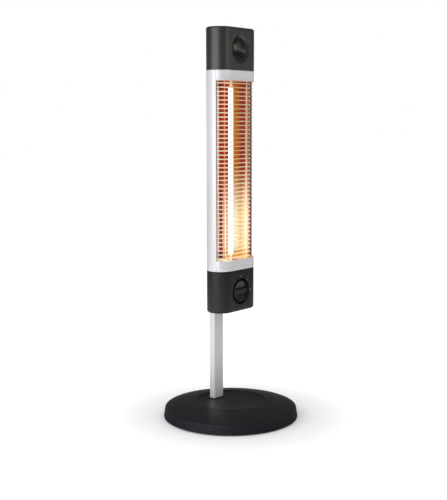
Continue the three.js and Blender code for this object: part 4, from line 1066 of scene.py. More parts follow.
@dataclass(frozen=True)
class SlotPlan:
    """The head's plan: a slot shape with half-round ends, split by two seams.

    The seams run so far in front of the ends' widest places, as an angle.
    """

    width: float = 0.146
    depth: float = 0.067
    seam: float = math.radians(21.4)
    flat_margin: float = 0.002
    flat_steps: int = 6

    @property
    def lobe(self) -> float:
        """Radius of the half-round ends."""
        return self.depth / 2

    @property
    def reach(self) -> float:
        """From the middle to the centre of each round end."""
        return self.width / 2 - self.lobe

    def facing(self, z: float) -> Matrix:
        """Turns a piece made about Z so that it looks out of the front at a height."""
        return Matrix.Translation((0, -self.lobe, z)) @ Matrix.Rotation(QUARTER, 4, "X")

    def bend(self, side: int, start: float, end: float, steps: int) -> list[Place]:
        """Walks round one end.

        Args:
            side: The left (-1) or the right (1) end.
            start: First angle, from +X.
            end: Last angle.
            steps: Spaces between the places.

        Returns:
            The places.
        """
        middle, lobe = side * self.reach, self.lobe
        directions = arc((0.0, 0.0), 1.0, start, end, steps)
        return [Place(middle + lobe * u, lobe * v, u, v) for u, v in directions]

    def flat(self, facing: int, start: int) -> list[Place]:
        """Walks along a flat side.

        Args:
            facing: The front (-1) or the back (1).
            start: Where to begin, on the left (-1) or the right (1).

        Returns:
            The places.
        """
        limit = self.reach - self.flat_margin
        shares = [1 - 2 * i / self.flat_steps for i in range(self.flat_steps + 1)]
        return [Place(start * limit * s, facing * self.lobe, 0.0, float(facing)) for s in shares]

    def ring(self, steps: int) -> list[Place]:
        """Walks all round.

        Args:
            steps: Spaces between the places on each end.

        Returns:
            The places, anticlockwise.
        """
        return [
            *self.bend(1, -QUARTER, QUARTER, steps),
            *self.flat(1, 1),
            *self.bend(-1, QUARTER, 3 * QUARTER, steps),
            *self.flat(-1, -1),
        ]

    def front(self, seam: float, steps: int) -> list[Place]:
        """Walks round the front.

        Args:
            seam: Angle before the widest place at which the walk starts and ends.
            steps: Spaces between the places on each end.

        Returns:
            The places, from left to right.
        """
        return [
            *self.bend(-1, math.pi + seam, 3 * QUARTER, steps),
            *self.flat(-1, -1),
            *self.bend(1, -QUARTER, -seam, steps),
        ]

    def back(self, seam: float, steps: int) -> list[Place]:
        """Walks round the back.

        Args:
            seam: Angle before the widest place at which the walk starts and ends.
            steps: Spaces between the places on each end.

        Returns:
            The places, from right to left.
        """
        return [
            *self.bend(1, -seam, QUARTER, steps),
            *self.flat(1, 1),
            *self.bend(-1, QUARTER, math.pi + seam, steps),
        ]

    def wrap(self, name: str, profile: Sequence[Pair], places: Sequence[Place]) -> bpy.types.Object:
        """Sweeps a closed profile of insets and heights along places."""
        return loft(name, [[p.at(inset, z) for inset, z in profile] for p in places])

    def stack(self, name: str, levels: Sequence[Pair], steps: int = 32) -> bpy.types.Object:
        """A solid slot shape through levels of insets and heights."""
        places = self.ring(steps)
        return loft(name, [[p.at(inset, z) for p in places] for inset, z in levels])


# ---------------------------------------------------------------------------
# Screws, base and pole
# ---------------------------------------------------------------------------


@dataclass(frozen=True)
class PanHead:
    """A screw's pan head with a cross recess, looking out of the back.

    The rim's and the recess's shares are of the height, the arm's and the
    slit's are of the radius, and the corner's is of the slit's.
    """

    radius: float
    height: float
    rim_share: float = 0.35
    recess_share: float = 0.55
    arm_share: float = 0.62
    slit_share: float = 0.2
    corner_share: float = 0.2
    crown_steps: int = 6
    steps: int = 40

    def build(self, name: str) -> bpy.types.Object:
        """Makes one head.

        Args:
            name: The object's name.

        Returns:
            The head, with its seat at the origin and its top towards +Y.
        """
        dome = 1 - self.rim_share
        crown = [
            (self.radius * math.sin(a), self.height * (self.rim_share + dome * math.cos(a)))
            for a in [QUARTER * (1 - i / self.crown_steps) for i in range(self.crown_steps)]
        ]
        outline = [(0.0, 0.0), (self.radius, 0.0), *crown, (0.0, self.height)]
        head = lathe(name, outline, self.steps)
        arm, slit = 2 * self.radius * self.arm_share, 2 * self.radius * self.slit_share
        corner = slit / 2 * self.corner_share
        floor = self.height * (1 - self.recess_share)
        tools = [
            prism("cross", rounded_outline(*size, corner, steps=2), floor, self.height * 2)
            for size in ((arm, slit), (slit, arm))
        ]
        carve(head, tools)
        head.data.transform(Matrix.Rotation(-QUARTER, 4, "X"))
        return head

    def fit(self, name: str, nodes: Sequence[str]) -> None:
        """Puts a head on every screw and seats them as one piece.

        Args:
            name: The piece's name.
            nodes: The screws' nodes.
        """
        boxes = [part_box(n) for n in nodes]
        places = [((a.x + b.x) / 2, b.y - self.height, (a.z + b.z) / 2) for a, b in boxes]
        heads = copies_of(name, self.build(name + "_master"), places, ZINC_STEEL)
        seat(heads, ZINC_STEEL, nodes)


@dataclass
class Base:
    """Round base: domed cover with a shallow recess, on rubber pads.

    The opening's sizes are shares of the pole's, and the two eases are shares of
    the recess's eased edge.
    """

    nodes: Sequence[str]
    radius: float = 0.170
    reveal: float = 0.003
    rim_height: float = 0.023
    rim_draft: float = 0.003
    rim_fillet: float = 0.0035
    rim_steps: int = 8
    crown_rise: float = 0.016
    recess_radius: float = 0.087
    recess_depth: float = 0.0025
    recess_draft: float = 0.0012
    recess_ease: float = 0.0006
    ease_in: float = 0.4
    ease_down: float = 0.5
    wall: float = 0.0024
    opening_width: float = 0.9
    opening_depth: float = 0.82
    opening_corner: float = 0.003
    pad_edge: float = 0.0015
    pad_edge_steps: int = 5
    pad_steps: int = 48
    steps: int = 224

    def outline(self, wall: float) -> list[Pair]:
        """The cover's section from the middle to its foot.

        Args:
            wall: How far inside the outer face.

        Returns:
            Radius and height pairs.
        """
        rim_top = self.reveal + self.rim_height
        crown = rim_top + self.crown_rise
        floor = crown - self.recess_depth
        rim = self.radius - self.rim_draft
        slope = self.crown_rise / (rim - self.recess_radius)
        fillet, small = self.rim_fillet, self.recess_ease
        shoulder, heel = (rim - fillet, rim_top + slope * fillet), (rim, rim_top - fillet)
        mouth, foot = self.recess_radius, self.recess_radius - self.recess_draft
        points = [
            (0.0, floor),
            (mouth / 2, floor),
            (foot - small, floor),
            (foot, floor + small * self.ease_in),
            (mouth - small * self.ease_in, crown - small * self.ease_down),
            (mouth + small, crown - slope * small),
            *self._curve((shoulder, (rim, rim_top), heel)),
            (self.radius, self.reveal),
        ]
        return [(max(r - wall, 0.0), z - (wall if z > self.reveal else 0)) for r, z in points]

    def _curve(self, controls: Sequence[Pair]) -> list[Pair]:
        """A soft bend from the first of three points to the last, drawn to the second.

        Args:
            controls: The three points.

        Returns:
            Points along the bend.
        """
        shares = [i / self.rim_steps for i in range(self.rim_steps + 1)]
        across, up = (
            [(1 - t) ** 2 * a + 2 * t * (1 - t) * b + t * t * c for t in shares]
            for a, b, c in zip(*controls)
        )
        return list(zip(across, up))

    def build(self) -> None:
        """Makes the cover and the pads."""
        outside = self.outline(0.0)
        inside = reversed(self.outline(self.wall))
        cover = lathe("cover_dome", [*outside, *inside], self.steps)
        low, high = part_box("pole")
        width = (high.x - low.x) * self.opening_width
        depth = (high.y - low.y) * self.opening_depth
        opening = rounded_outline(width, depth, self.opening_corner)
        floor = outside[0][1]
        tool = prism("opening", opening, floor - 2 * self.wall, floor + self.wall)
        tool.data.transform(Matrix.Translation((0, (low.y + high.y) / 2, 0)))
        seat(carve(cover, [tool]), SATIN_BLACK, ["base_cover"])
        self._pads()

    def _pads(self) -> None:
        """Makes the rubber pads under the weight."""
        names = [n for n in self.nodes if n.startswith("foot_pad_")]
        boxes = [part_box(n) for n in names]
        low, high = boxes[0]
        radius = (high.x - low.x) / 2
        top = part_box("base_weight")[0].z - GAP
        edge, face = self.pad_edge, radius - self.pad_edge
        outline = [
            (0.0, 0.0),
            *arc((face, edge), edge, -QUARTER, 0, self.pad_edge_steps),
            (radius, top),
            (0.0, top),
        ]
        master = lathe("pad_master", outline, self.pad_steps)
        places = [((a.x + b.x) / 2, (a.y + b.y) / 2, 0.0) for a, b in boxes]
        pads = copies_of("rubber_pads", master, places, RUBBER)
        seat(pads, RUBBER, names)


@dataclass
class Pole:
    """Flat tube behind the head, with its collar, plug and bolts."""

    nodes: Sequence[str]
    corner: float = 0.005
    wall: float = 0.0016
    collar_width: float = 0.0014
    collar_edge: float = 0.0007
    edge_share: float = 0.3
    plug_edge: float = 0.0008
    plug_edge_steps: int = 4
    bolts: PanHead = PanHead(0.0055, 0.003)
    steps: int = 12

    def build(self) -> None:
        """Makes the tube, the collar, the plug and the bolts' heads."""
        self._tube()
        self._collar()
        self._plug()
        names = [n for n in self.nodes if n.startswith("pole_bolt_")]
        self.bolts.fit("pole_bolt_heads", names)

    def _rings(self, levels: Sequence[Pair]) -> list[list[Point]]:
        """The pole's outline at several heights.

        Args:
            levels: How far outside the pole's face, and the height, of each ring.

        Returns:
            The rings.
        """
        low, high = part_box("pole")
        width, depth, middle = high.x - low.x, high.y - low.y, (low.y + high.y) / 2
        rings = []
        for out, z in levels:
            size = (width + 2 * out, depth + 2 * out, self.corner + out)
            rings.append([(x, y + middle, z) for x, y in rounded_outline(*size, self.steps)])
        return rings

    def _tube(self) -> None:
        """Makes the hollow tube."""
        low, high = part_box("pole")
        levels = [(0.0, low.z), (0.0, high.z), (-self.wall, high.z), (-self.wall, low.z)]
        tube = loft("pole_tube", self._rings(levels), loop=True)
        seat(tube, POLE_SILVER, ["pole"])

    def _collar(self) -> None:
        """Makes the thin collar round the pole's foot."""
        low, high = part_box("pole_collar")
        outside, edge = GAP + self.collar_width, self.collar_edge
        levels = [
            (GAP, low.z),
            (outside, low.z),
            (outside, high.z - edge),
            (outside - edge * self.edge_share, high.z - edge * self.edge_share),
            (outside - edge, high.z),
            (GAP, high.z),
        ]
        sleeve = loft("pole_sleeve", self._rings(levels), loop=True)
        seat(sleeve, BLACK_NYLON, ["pole_collar"])

    def _plug(self) -> None:
        """Makes the plug that closes the pole's top."""
        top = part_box("pole_plug")[1].z
        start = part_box("pole")[1].z + GAP
        corner = rounded_end(0.0, top, self.plug_edge, False, self.plug_edge_steps)
        levels = [(0.0, start), *((-inset, z) for inset, z in reversed(corner))]
        plug = loft("pole_cap_plug", self._rings(levels))
        seat(plug, BLACK_NYLON, ["pole_plug"])


# ---------------------------------------------------------------------------
# Head
# ---------------------------------------------------------------------------


@dataclass
class Shell:
    """The head's silver parts, the bright shields and the caps' screws."""

    plan: SlotPlan
    nodes: Sequence[str]
    seam_gap: float = 0.0004
    wall: float = 0.0018
    shaded_inside_share: float = 0.8
    bevel: float = 0.0013
    window_edge: float = 0.0003
    edge_share: float = 0.3
    lip_inset: float = 0.0053
    lip_thickness: float = 0.0016
    screws: PanHead = PanHead(0.003, 0.0018)
    steps: int = 40

    @property
    def half_gap(self) -> float:
        """Half the seam's gap, as an angle round the head's ends."""
        return self.seam_gap / 2 / self.plan.lobe

    def build(self) -> None:
        """Makes the housing, the bands, the shields and the screws' heads."""
        self._housing()
        for end in (End.BOTTOM, End.TOP):
            self._band(end)
        for end in (End.BOTTOM, End.TOP):
            self._shield(end)
        names = [n for n in self.nodes if "_cap_screw_" in n]
        self.screws.fit("cap_screw_heads", names)

    def _housing(self) -> None:
        """Makes the silver back, with eased ends."""
        low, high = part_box("rear_housing")
        bottom = rounded_end(0.0, low.z, self.bevel, True)
        top = reversed(rounded_end(0.0, high.z, self.bevel, False))
        profile = [(self.wall, low.z), *bottom, *top, (self.wall, high.z)]
        places = self.plan.back(self.plan.seam - self.half_gap, self.steps)
        shell = self.plan.wrap("housing_shell", profile, places)
        seat(shell, SATIN_SILVER, ["rear_housing"])
        self._line(shell)

    def _line(self, shell: bpy.types.Object) -> None:
        """Gives the faces well inside the head's outline a brown copy of the silver, with the
        lamp's glow and shade painted on.

        Args:
            shell: The housing.
        """
        # The inside faces take the painted lamp glow and shade.
        shell.data.materials.append(HOUSING_GLOW_AND_SHADE.material())
        for face in shell.data.polygons:
            side = max(0.0, abs(face.center.x) - self.plan.reach)
            inset = self.plan.lobe - math.hypot(side, face.center.y)
            if inset > self.wall * self.shaded_inside_share:
                face.material_index = 1

    def _band(self, end: End) -> None:
        """Makes a front band, with a lip behind it that holds the shield.

        Args:
            end: The end of the head that the band is at.
        """
        node, side = f"{end.band}_band", end.inwards
        low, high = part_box(node)
        cap_z, window_z = (low.z, high.z) if side > 0 else (high.z, low.z)
        lip, lip_near = self.lip_inset, self._lip_level(end)
        lip_far = lip_near - side * self.lip_thickness
        edge, share = self.window_edge, self.edge_share
        profile = [
            *rounded_end(0.0, cap_z, self.bevel, side > 0),
            (0.0, window_z - side * edge),
            (edge * share, window_z - side * edge * share),
            (edge, window_z),
            (self.wall, window_z),
            (self.wall, lip_near),
            (lip, lip_near),
            (lip, lip_far),
            (self.wall, lip_far),
            (self.wall, cap_z),
        ]
        places = self.plan.front(self.plan.seam + self.half_gap, self.steps)
        band = self.plan.wrap(node + "_shell", profile, places)
        seat(band, SATIN_SILVER, [node])

    @staticmethod
    def _lip_level(end: End) -> float:
        """Height of the lip's face towards the window, just clear of the shield."""
        low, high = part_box(f"{end.band}_shield")
        return low.z - GAP if end is End.BOTTOM else high.z + GAP

    def _shield(self, end: End) -> None:
        """Makes one of the bright sheets that close the lamp's chamber, with the lamp's glow
        painted on.

        Args:
            end: The end of the head that the sheet is at.
        """
        node = f"{end.band}_shield"
        low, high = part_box(node)
        inset = self.plan.width / 2 - high.x
        sheet = self.plan.stack(node + "_sheet", [(inset, low.z), (inset, high.z)])
        seat(sheet, PAINTED_GLOW_SHEET, [node])


@dataclass(frozen=True)
class Dish:
    """Round recess in a cap's flat front.

    The heel is the eased corner round its floor, shaped by two shares of its size.
    """

    radius: float
    draft: float
    depth: float
    centre_z: float
    lip: float
    lip_share: float = 0.4
    lip_steps: int = 6
    heel: float = 0.0012
    heel_out: float = 0.2
    heel_up: float = 0.35
    overrun: float = 0.004
    steps: int = 128

    def tool(self, plan: SlotPlan, grow: float = 0.0) -> bpy.types.Object:
        """The recess as a solid that cuts a cap.

        Args:
            plan: The head's plan.
            grow: How much larger all round, for the back of the dish's wall.

        Returns:
            The solid.
        """
        mouth, floor = self.radius + grow, self.radius - self.draft + grow
        depth, heel = self.depth + grow, self.heel
        slope = (mouth - floor) / depth
        rise = min(self.lip, depth * self.lip_share)
        lip = [
            (mouth - rise * math.cos(a), rise * math.sin(a) - rise)
            for a in [QUARTER * i / self.lip_steps for i in range(self.lip_steps + 1)]
        ]
        outline = [
            (0.0, -depth),
            (floor - heel, -depth),
            (floor + heel * self.heel_out, -depth + heel * self.heel_up),
            (floor + heel * slope, -depth + heel),
            *lip,
            (mouth, self.overrun),
            (0.0, self.overrun),
        ]
        form = lathe("dish_tool", outline, self.steps)
        form.data.transform(plan.facing(self.centre_z))
        return form


@dataclass
class Cap:
    """A moulded cap at one end of the head, with its dish."""

    plan: SlotPlan
    end: End
    dish: Dish
    finish: Finish
    slot: str
    wall: float = 0.0026
    fillet: float = 0.0045
    fillet_steps: int = 8
    skirt: float = 0.008 - GAP
    joint: float = 0.0006
    joint_ease: float = 0.0003
    outer_steps: int = 40
    inner_steps: int = 24

    def build(self) -> None:
        """Makes the cap's shell and cuts its dish."""
        node = f"{self.end.cap}_cap"
        low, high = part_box(node)
        edge, far = (low.z, high.z) if self.end is End.TOP else (high.z, low.z)
        joint = edge - self.end.inwards * (self.skirt + self.joint)
        shell = self.plan.stack(node + "_shell", self._levels(joint, far), self.outer_steps)
        hollow = self._levels(joint, far, self.wall)
        inside = self.plan.stack("inside", hollow, self.inner_steps)
        carve(inside, [self.dish.tool(self.plan, self.wall)])
        carve(shell, [inside, self.dish.tool(self.plan)])
        seat(shell, self.finish, [node])

    def _levels(self, joint: float, far: float, inside: float = 0.0) -> list[Pair]:
        """Levels from the joint to the cap's far end.

        Args:
            joint: Height of the cap's joint with the housing.
            far: Height of its far end.
            inside: How far inside the outer face.

        Returns:
            Insets and heights.
        """
        side, small = -self.end.inwards, self.joint_ease
        start, end = joint - side * inside, far - side * inside
        opening = [(inside, start)] if inside else [(small, start), (0.0, start + side * small)]
        fillet = rounded_end(inside, end, self.fillet - inside, side < 0, self.fillet_steps)
        return [*opening, *reversed(fillet)]


@dataclass
class Guard:
    """Bent wires across the window, welded to four uprights.

    The wires end an angle behind the seams (tuck), and the outer uprights stand
    an angle in front of them (flank).
    """

    plan: SlotPlan
    tuck: float = math.radians(2.3)
    flank: float = math.radians(1.4)
    inset: float = 0.005
    radius: float = 0.0015
    weld: float = 0.0006
    count: int = 43
    margin: float = 0.0056
    rib_offset: float = 0.0303
    sides: int = 12
    bend_steps: int = 14

    def build(self) -> None:
        """Makes the wires and the uprights as one guard."""
        low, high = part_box("guard")
        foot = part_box("lower_band")[1].z
        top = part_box("upper_band")[0].z
        first = foot + self.margin
        pitch = (top - foot - 2 * self.margin) / (self.count - 1)
        bends = self.plan.front(self.plan.seam - self.tuck, self.bend_steps)
        wires = self._line("wire_rows", [[p.at(self.inset, first) for p in bends]])
        posts = [[(x, y, low.z), (x, y, high.z)] for x, y in self._uprights()]
        uprights = self._line("wire_uprights", posts)
        tree = swept_rows(CHROME_WIRE)
        size = {"Wire radius": self.radius, "Sides": self.sides}
        tree.run(wires, {**size, "Count": self.count, "Pitch": pitch})
        tree.run(uprights, {**size, "Count": 1, "Pitch": 0.0})
        guard = merge("guard_wires", [wires, uprights])
        seat(guard, CHROME_WIRE, ["guard"])

    @staticmethod
    def _line(name: str, paths: Sequence[Sequence[Point]]) -> bpy.types.Object:
        """Makes a mesh of open lines.

        Args:
            name: The object's name.
            paths: The points of each line.

        Returns:
            The object.
        """
        points: list[Point] = []
        edges: list[tuple[int, int]] = []
        for path in paths:
            start = len(points)
            edges.extend((start + i, start + i + 1) for i in range(len(path) - 1))
            points.extend(path)
        mesh = bpy.data.meshes.new(name)
        mesh.from_pydata(points, edges, [])
        return link(name, mesh)

    def _uprights(self) -> list[Pair]:
        """Finds where the four uprights stand, behind the wires.

        Returns:
            Their X and Y: the two at the seams, then the two behind the front.
        """
        inset = self.inset + 2 * self.radius - self.weld
        flank = self.plan.seam + self.flank
        places = [self.plan.bend(-1, math.pi + flank, 0, 1)[0], self.plan.bend(1, -flank, 0, 1)[0]]
        ends = [p.at(inset, 0.0)[:2] for p in places]
        ribs = [(s * self.rib_offset, inset - self.plan.lobe) for s in (-1, 1)]
        return [*ends, *ribs]


@dataclass
class Lamp:
    """The double-trough reflector and the glass tube in front of it."""

    trough_radius: float = 0.0405
    trough_offset: float = 0.024
    trough_y: float = -0.013
    edge_y: float = -0.006
    flange: float = 0.0034
    sheet: float = 0.0008
    steps: int = 56
    tube_radius: float = 0.0055
    neck_radius: float = 0.0032
    glass: float = 0.0011
    taper: float = 0.01
    taper_steps: int = 6
    end_margin: float = 0.015
    tube_steps: int = 40

    @property
    def edge_x(self) -> float:
        """X of the sheet's right edge, a flange outside the trough."""
        turn = math.asin((self.edge_y - self.trough_y) / self.trough_radius)
        return self.trough_offset + self.trough_radius * math.cos(turn) + self.flange

    def build(self) -> None:
        """Makes the reflector and the tube."""
        self._reflector()
        self._tube()

    def _face(self, behind: float) -> list[Pair]:
        """One face of the sheet's plan, from the right flange to the left one.

        Args:
            behind: How far behind the bright face.

        Returns:
            X and Y pairs.
        """
        radius = self.trough_radius + behind
        rise = self.edge_y - self.trough_y + behind
        start = math.asin(rise / radius)
        ridge = math.pi - math.acos(self.trough_offset / radius)
        centre = (self.trough_offset, self.trough_y)
        trough = arc(centre, radius, start, ridge, self.steps)
        half = [(self.edge_x, self.edge_y + behind), *trough]
        return [*half, *((-x, y) for x, y in reversed(half[:-1]))]

    def _reflector(self) -> None:
        """Draws the troughs' plan up through the window."""
        low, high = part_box("reflector")
        outline = [*self._face(0.0), *reversed(self._face(self.sheet))]
        sheet = prism("reflector_sheet", outline, low.z, high.z)
        seat(sheet, PAINTED_GLOW_SHEET, ["reflector"])

    def _tube(self) -> None:
        """Turns the glass tube with its pinched necks."""
        low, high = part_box("lamp_tube")
        foot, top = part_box("lower_band")[1].z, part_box("upper_band")[0].z
        outer = [
            (self.neck_radius, low.z),
            *self._shoulder(foot + self.end_margin, -1),
            *reversed(self._shoulder(top - self.end_margin, 1)),
            (self.neck_radius, high.z),
        ]
        inner = [(r - self.glass, z) for r, z in reversed(outer)]
        tube = lathe("lamp_glass_tube", [*outer, *inner, outer[0]], self.tube_steps)
        tube.data.transform(Matrix.Translation((0, (low.y + high.y) / 2, 0)))
        seat(tube, LAMP_GLASS, ["lamp_tube"])

    def _shoulder(self, level: float, side: int) -> list[Pair]:
        """A soft shoulder from the tube's neck to its full width.

        Args:
            level: Height at which the tube has its full width.
            side: Whether the neck is above (1) or below (-1) that height.

        Returns:
            Radius and height pairs, from the neck on.
        """
        drop = self.tube_radius - self.neck_radius
        shares = [i / self.taper_steps for i in range(self.taper_steps + 1)]
        return [
            (
                self.neck_radius + drop * (1 - math.cos(math.pi * share)) / 2,
                level + side * self.taper * (1 - share),
            )
            for share in shares
        ]


@dataclass
class Dial:
    """The knob in the bottom cap's dish, and the numbers printed round it."""

    plan: SlotPlan
    dish: Dish
    radius: float = 0.027
    draft: float = 0.0007
    edge: float = 0.0016
    edge_steps: int = 6
    fine_edge: float = 0.0004
    floor_gap: float = 0.0008
    skin: float = 0.002
    grip: float = 0.013
    scoop_depth: float = 0.0046
    scoop_rim: float = 0.0022
    scoop_steps: int = 40
    pointer_length: float = 0.007
    pointer_width: float = 0.0012
    pointer_depth: float = 0.0008
    pointer_rim: float = 0.0065
    pointer_corner: float = 0.3
    numbers: str = "012"
    number_turn: float = QUARTER / 2
    number_orbit: float = 0.0364
    number_height: float = 0.0048
    number_thickness: float = 0.0001
    steps: int = 96

    @property
    def front(self) -> float:
        """Radius of the knob's front face."""
        return self.radius - self.draft

    def build(self) -> None:
        """Makes the knob and the numbers round it."""
        back = self.floor_gap - self.dish.depth
        inside, cavity_top = self.front - self.skin, -self.scoop_depth - self.skin
        outline = [
            (0.0, cavity_top),
            (inside, cavity_top),
            (inside, back),
            (self.radius, back),
            *arc((self.front - self.edge, -self.edge), self.edge, 0, QUARTER, self.edge_steps),
            (0.0, 0.0),
        ]
        knob = lathe("knob_dial", outline, self.steps)
        carve(knob, [self._scoop(0.0), self._scoop(math.pi), self._pointer()])
        ease(knob, self.fine_edge)
        knob.data.transform(self.plan.facing(self.dish.centre_z))
        seat(knob, BLACK_MOULDING, ["control_knob"], "knob")
        self._numbers()

    def _scoop(self, turn: float) -> bpy.types.Object:
        """A half-moon finger scoop, deepest beside the grip.

        Args:
            turn: The scoop's direction, as an angle round the knob.

        Returns:
            The solid that cuts it.
        """
        radius, chord = self.front - self.scoop_rim, self.grip / 2
        start = math.asin(chord / radius)
        moon = arc((0.0, 0.0), radius, start, math.pi - start, self.scoop_steps)
        slope = math.atan(self.scoop_depth / (radius - chord))
        tool = prism("scoop", moon, 0.0, self.radius)
        tool.data.transform(
            Matrix.Rotation(turn, 4, "Z")
            @ Matrix.Translation((0, chord, -self.scoop_depth))
            @ Matrix.Rotation(slope, 4, "X")
            @ Matrix.Translation((0, -chord, 0))
        )
        return tool

    def _pointer(self) -> bpy.types.Object:
        """Makes the solid that cuts the short groove on the grip, near its right end.

        Returns:
            The solid.
        """
        length, width, depth = self.pointer_length, self.pointer_width, self.pointer_depth
        groove = rounded_outline(length, width, width * self.pointer_corner, steps=3)
        tool = prism("pointer", groove, -depth, depth)
        tool.data.transform(Matrix.Translation((self.front - self.pointer_rim, 0, 0)))
        return tool

    def _numbers(self) -> None:
        """Sets the numbers on the cap, from the top of the dish to its right."""
        marks = [
            self._number(text, QUARTER - step * self.number_turn)
            for step, text in enumerate(self.numbers)
        ]
        seat(merge("dial_numbers", marks), PRINT_GREY)

    def _number(self, text: str, angle: float) -> bpy.types.Object:
        """Makes one number.

        Args:
            text: What it says.
            angle: Its place round the dish.

        Returns:
            The number as plain mesh.
        """
        curve = bpy.data.curves.new("number_" + text, "FONT")
        curve.body = text
        curve.size = self.number_height
        curve.align_x = "CENTER"
        curve.align_y = "CENTER"
        curve.extrude = self.number_thickness / 2
        mark = bpy.data.objects.new("number_" + text, curve)
        bpy.context.scene.collection.objects.link(mark)
        graph = bpy.context.evaluated_depsgraph_get()
        mesh = bpy.data.meshes.new_from_object(mark.evaluated_get(graph), depsgraph=graph)
        bpy.data.objects.remove(mark, do_unlink=True)
        x, y = self.number_orbit * math.cos(angle), self.number_orbit * math.sin(angle)
        place = Matrix.Translation((x, y, self.number_thickness / 2))
        mesh.transform(self.plan.facing(self.dish.centre_z) @ place)
        return link("mark_" + text, mesh)


@dataclass
class Eye:
    """The glossy dome of the receiver in the top cap's dish."""

    plan: SlotPlan
    dish: Dish
    rim: float = 0.001
    crown_steps: int = 14
    steps: int = 96

    def build(self) -> None:
        """Makes the dome on its short foot."""
        low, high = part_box("receiver_eye")
        radius = (high.x - low.x) / 2
        foot, top = GAP - self.dish.depth, -self.plan.lobe - low.y
        crown = top - foot - self.rim
        sphere = (radius**2 + crown**2) / (2 * crown)
        span = math.asin(radius / sphere)
        dome = [
            (sphere * math.sin(a), top - sphere * (1 - math.cos(a)))
            for a in [span * (1 - i / self.crown_steps) for i in range(self.crown_steps)]
        ]
        outline = [(0.0, foot), (radius, foot), *dome, (0.0, top)]
        form = lathe("eye_dome", outline, self.steps)
        form.data.transform(self.plan.facing(self.dish.centre_z))
        seat(form, GLOSS_BLACK, ["receiver_eye"])


# ---------------------------------------------------------------------------
# Studio
# ---------------------------------------------------------------------------


@dataclass(frozen=True)
class Softbox:
    """A soft area lamp that faces a point."""

    name: str
    place: Point
    target: Point
    width: float
    height: float
    radiance: float
    colour: Colour = (1.0, 1.0, 1.0)

    def light(self) -> None:
        """Puts the lamp into the scene, hidden from the camera itself."""
        data = bpy.data.lights.new(self.name, "AREA")
        data.shape = "RECTANGLE"
        data.size, data.size_y = self.width, self.height
        data.energy = self.radiance * math.pi * self.width * self.height
        data.color = self.colour
        lamp = bpy.data.objects.new(self.name, data)
        lamp.location = self.place
        aim = Vector(self.target) - Vector(self.place)
        lamp.rotation_euler = aim.to_track_quat("-Z", "Y").to_euler()
        lamp.visible_camera = False
        bpy.context.scene.collection.objects.link(lamp)


LAMPS = (
    Softbox("side_box", (-1.86, 0.05, 0.85), (0, 0, 0.8), 2.1, 1.6, 1.85, (0.98, 0.96, 1.0)),
    Softbox("left_front_box", (0.35, -2.0, 1.3), (0, 0, 0.9), 0.5, 0.7, 1.5, (1.0, 0.98, 0.8)),
    Softbox("right_front_box", (1.15, -1.75, 1.3), (0, 0, 0.9), 1.0, 1.0, 0.4, (1.0, 0.97, 0.8)),
    Softbox("top_box", (-0.2, -0.2, 2.4), (0, 0, 0), 1.2, 1.2, 0.6),
)


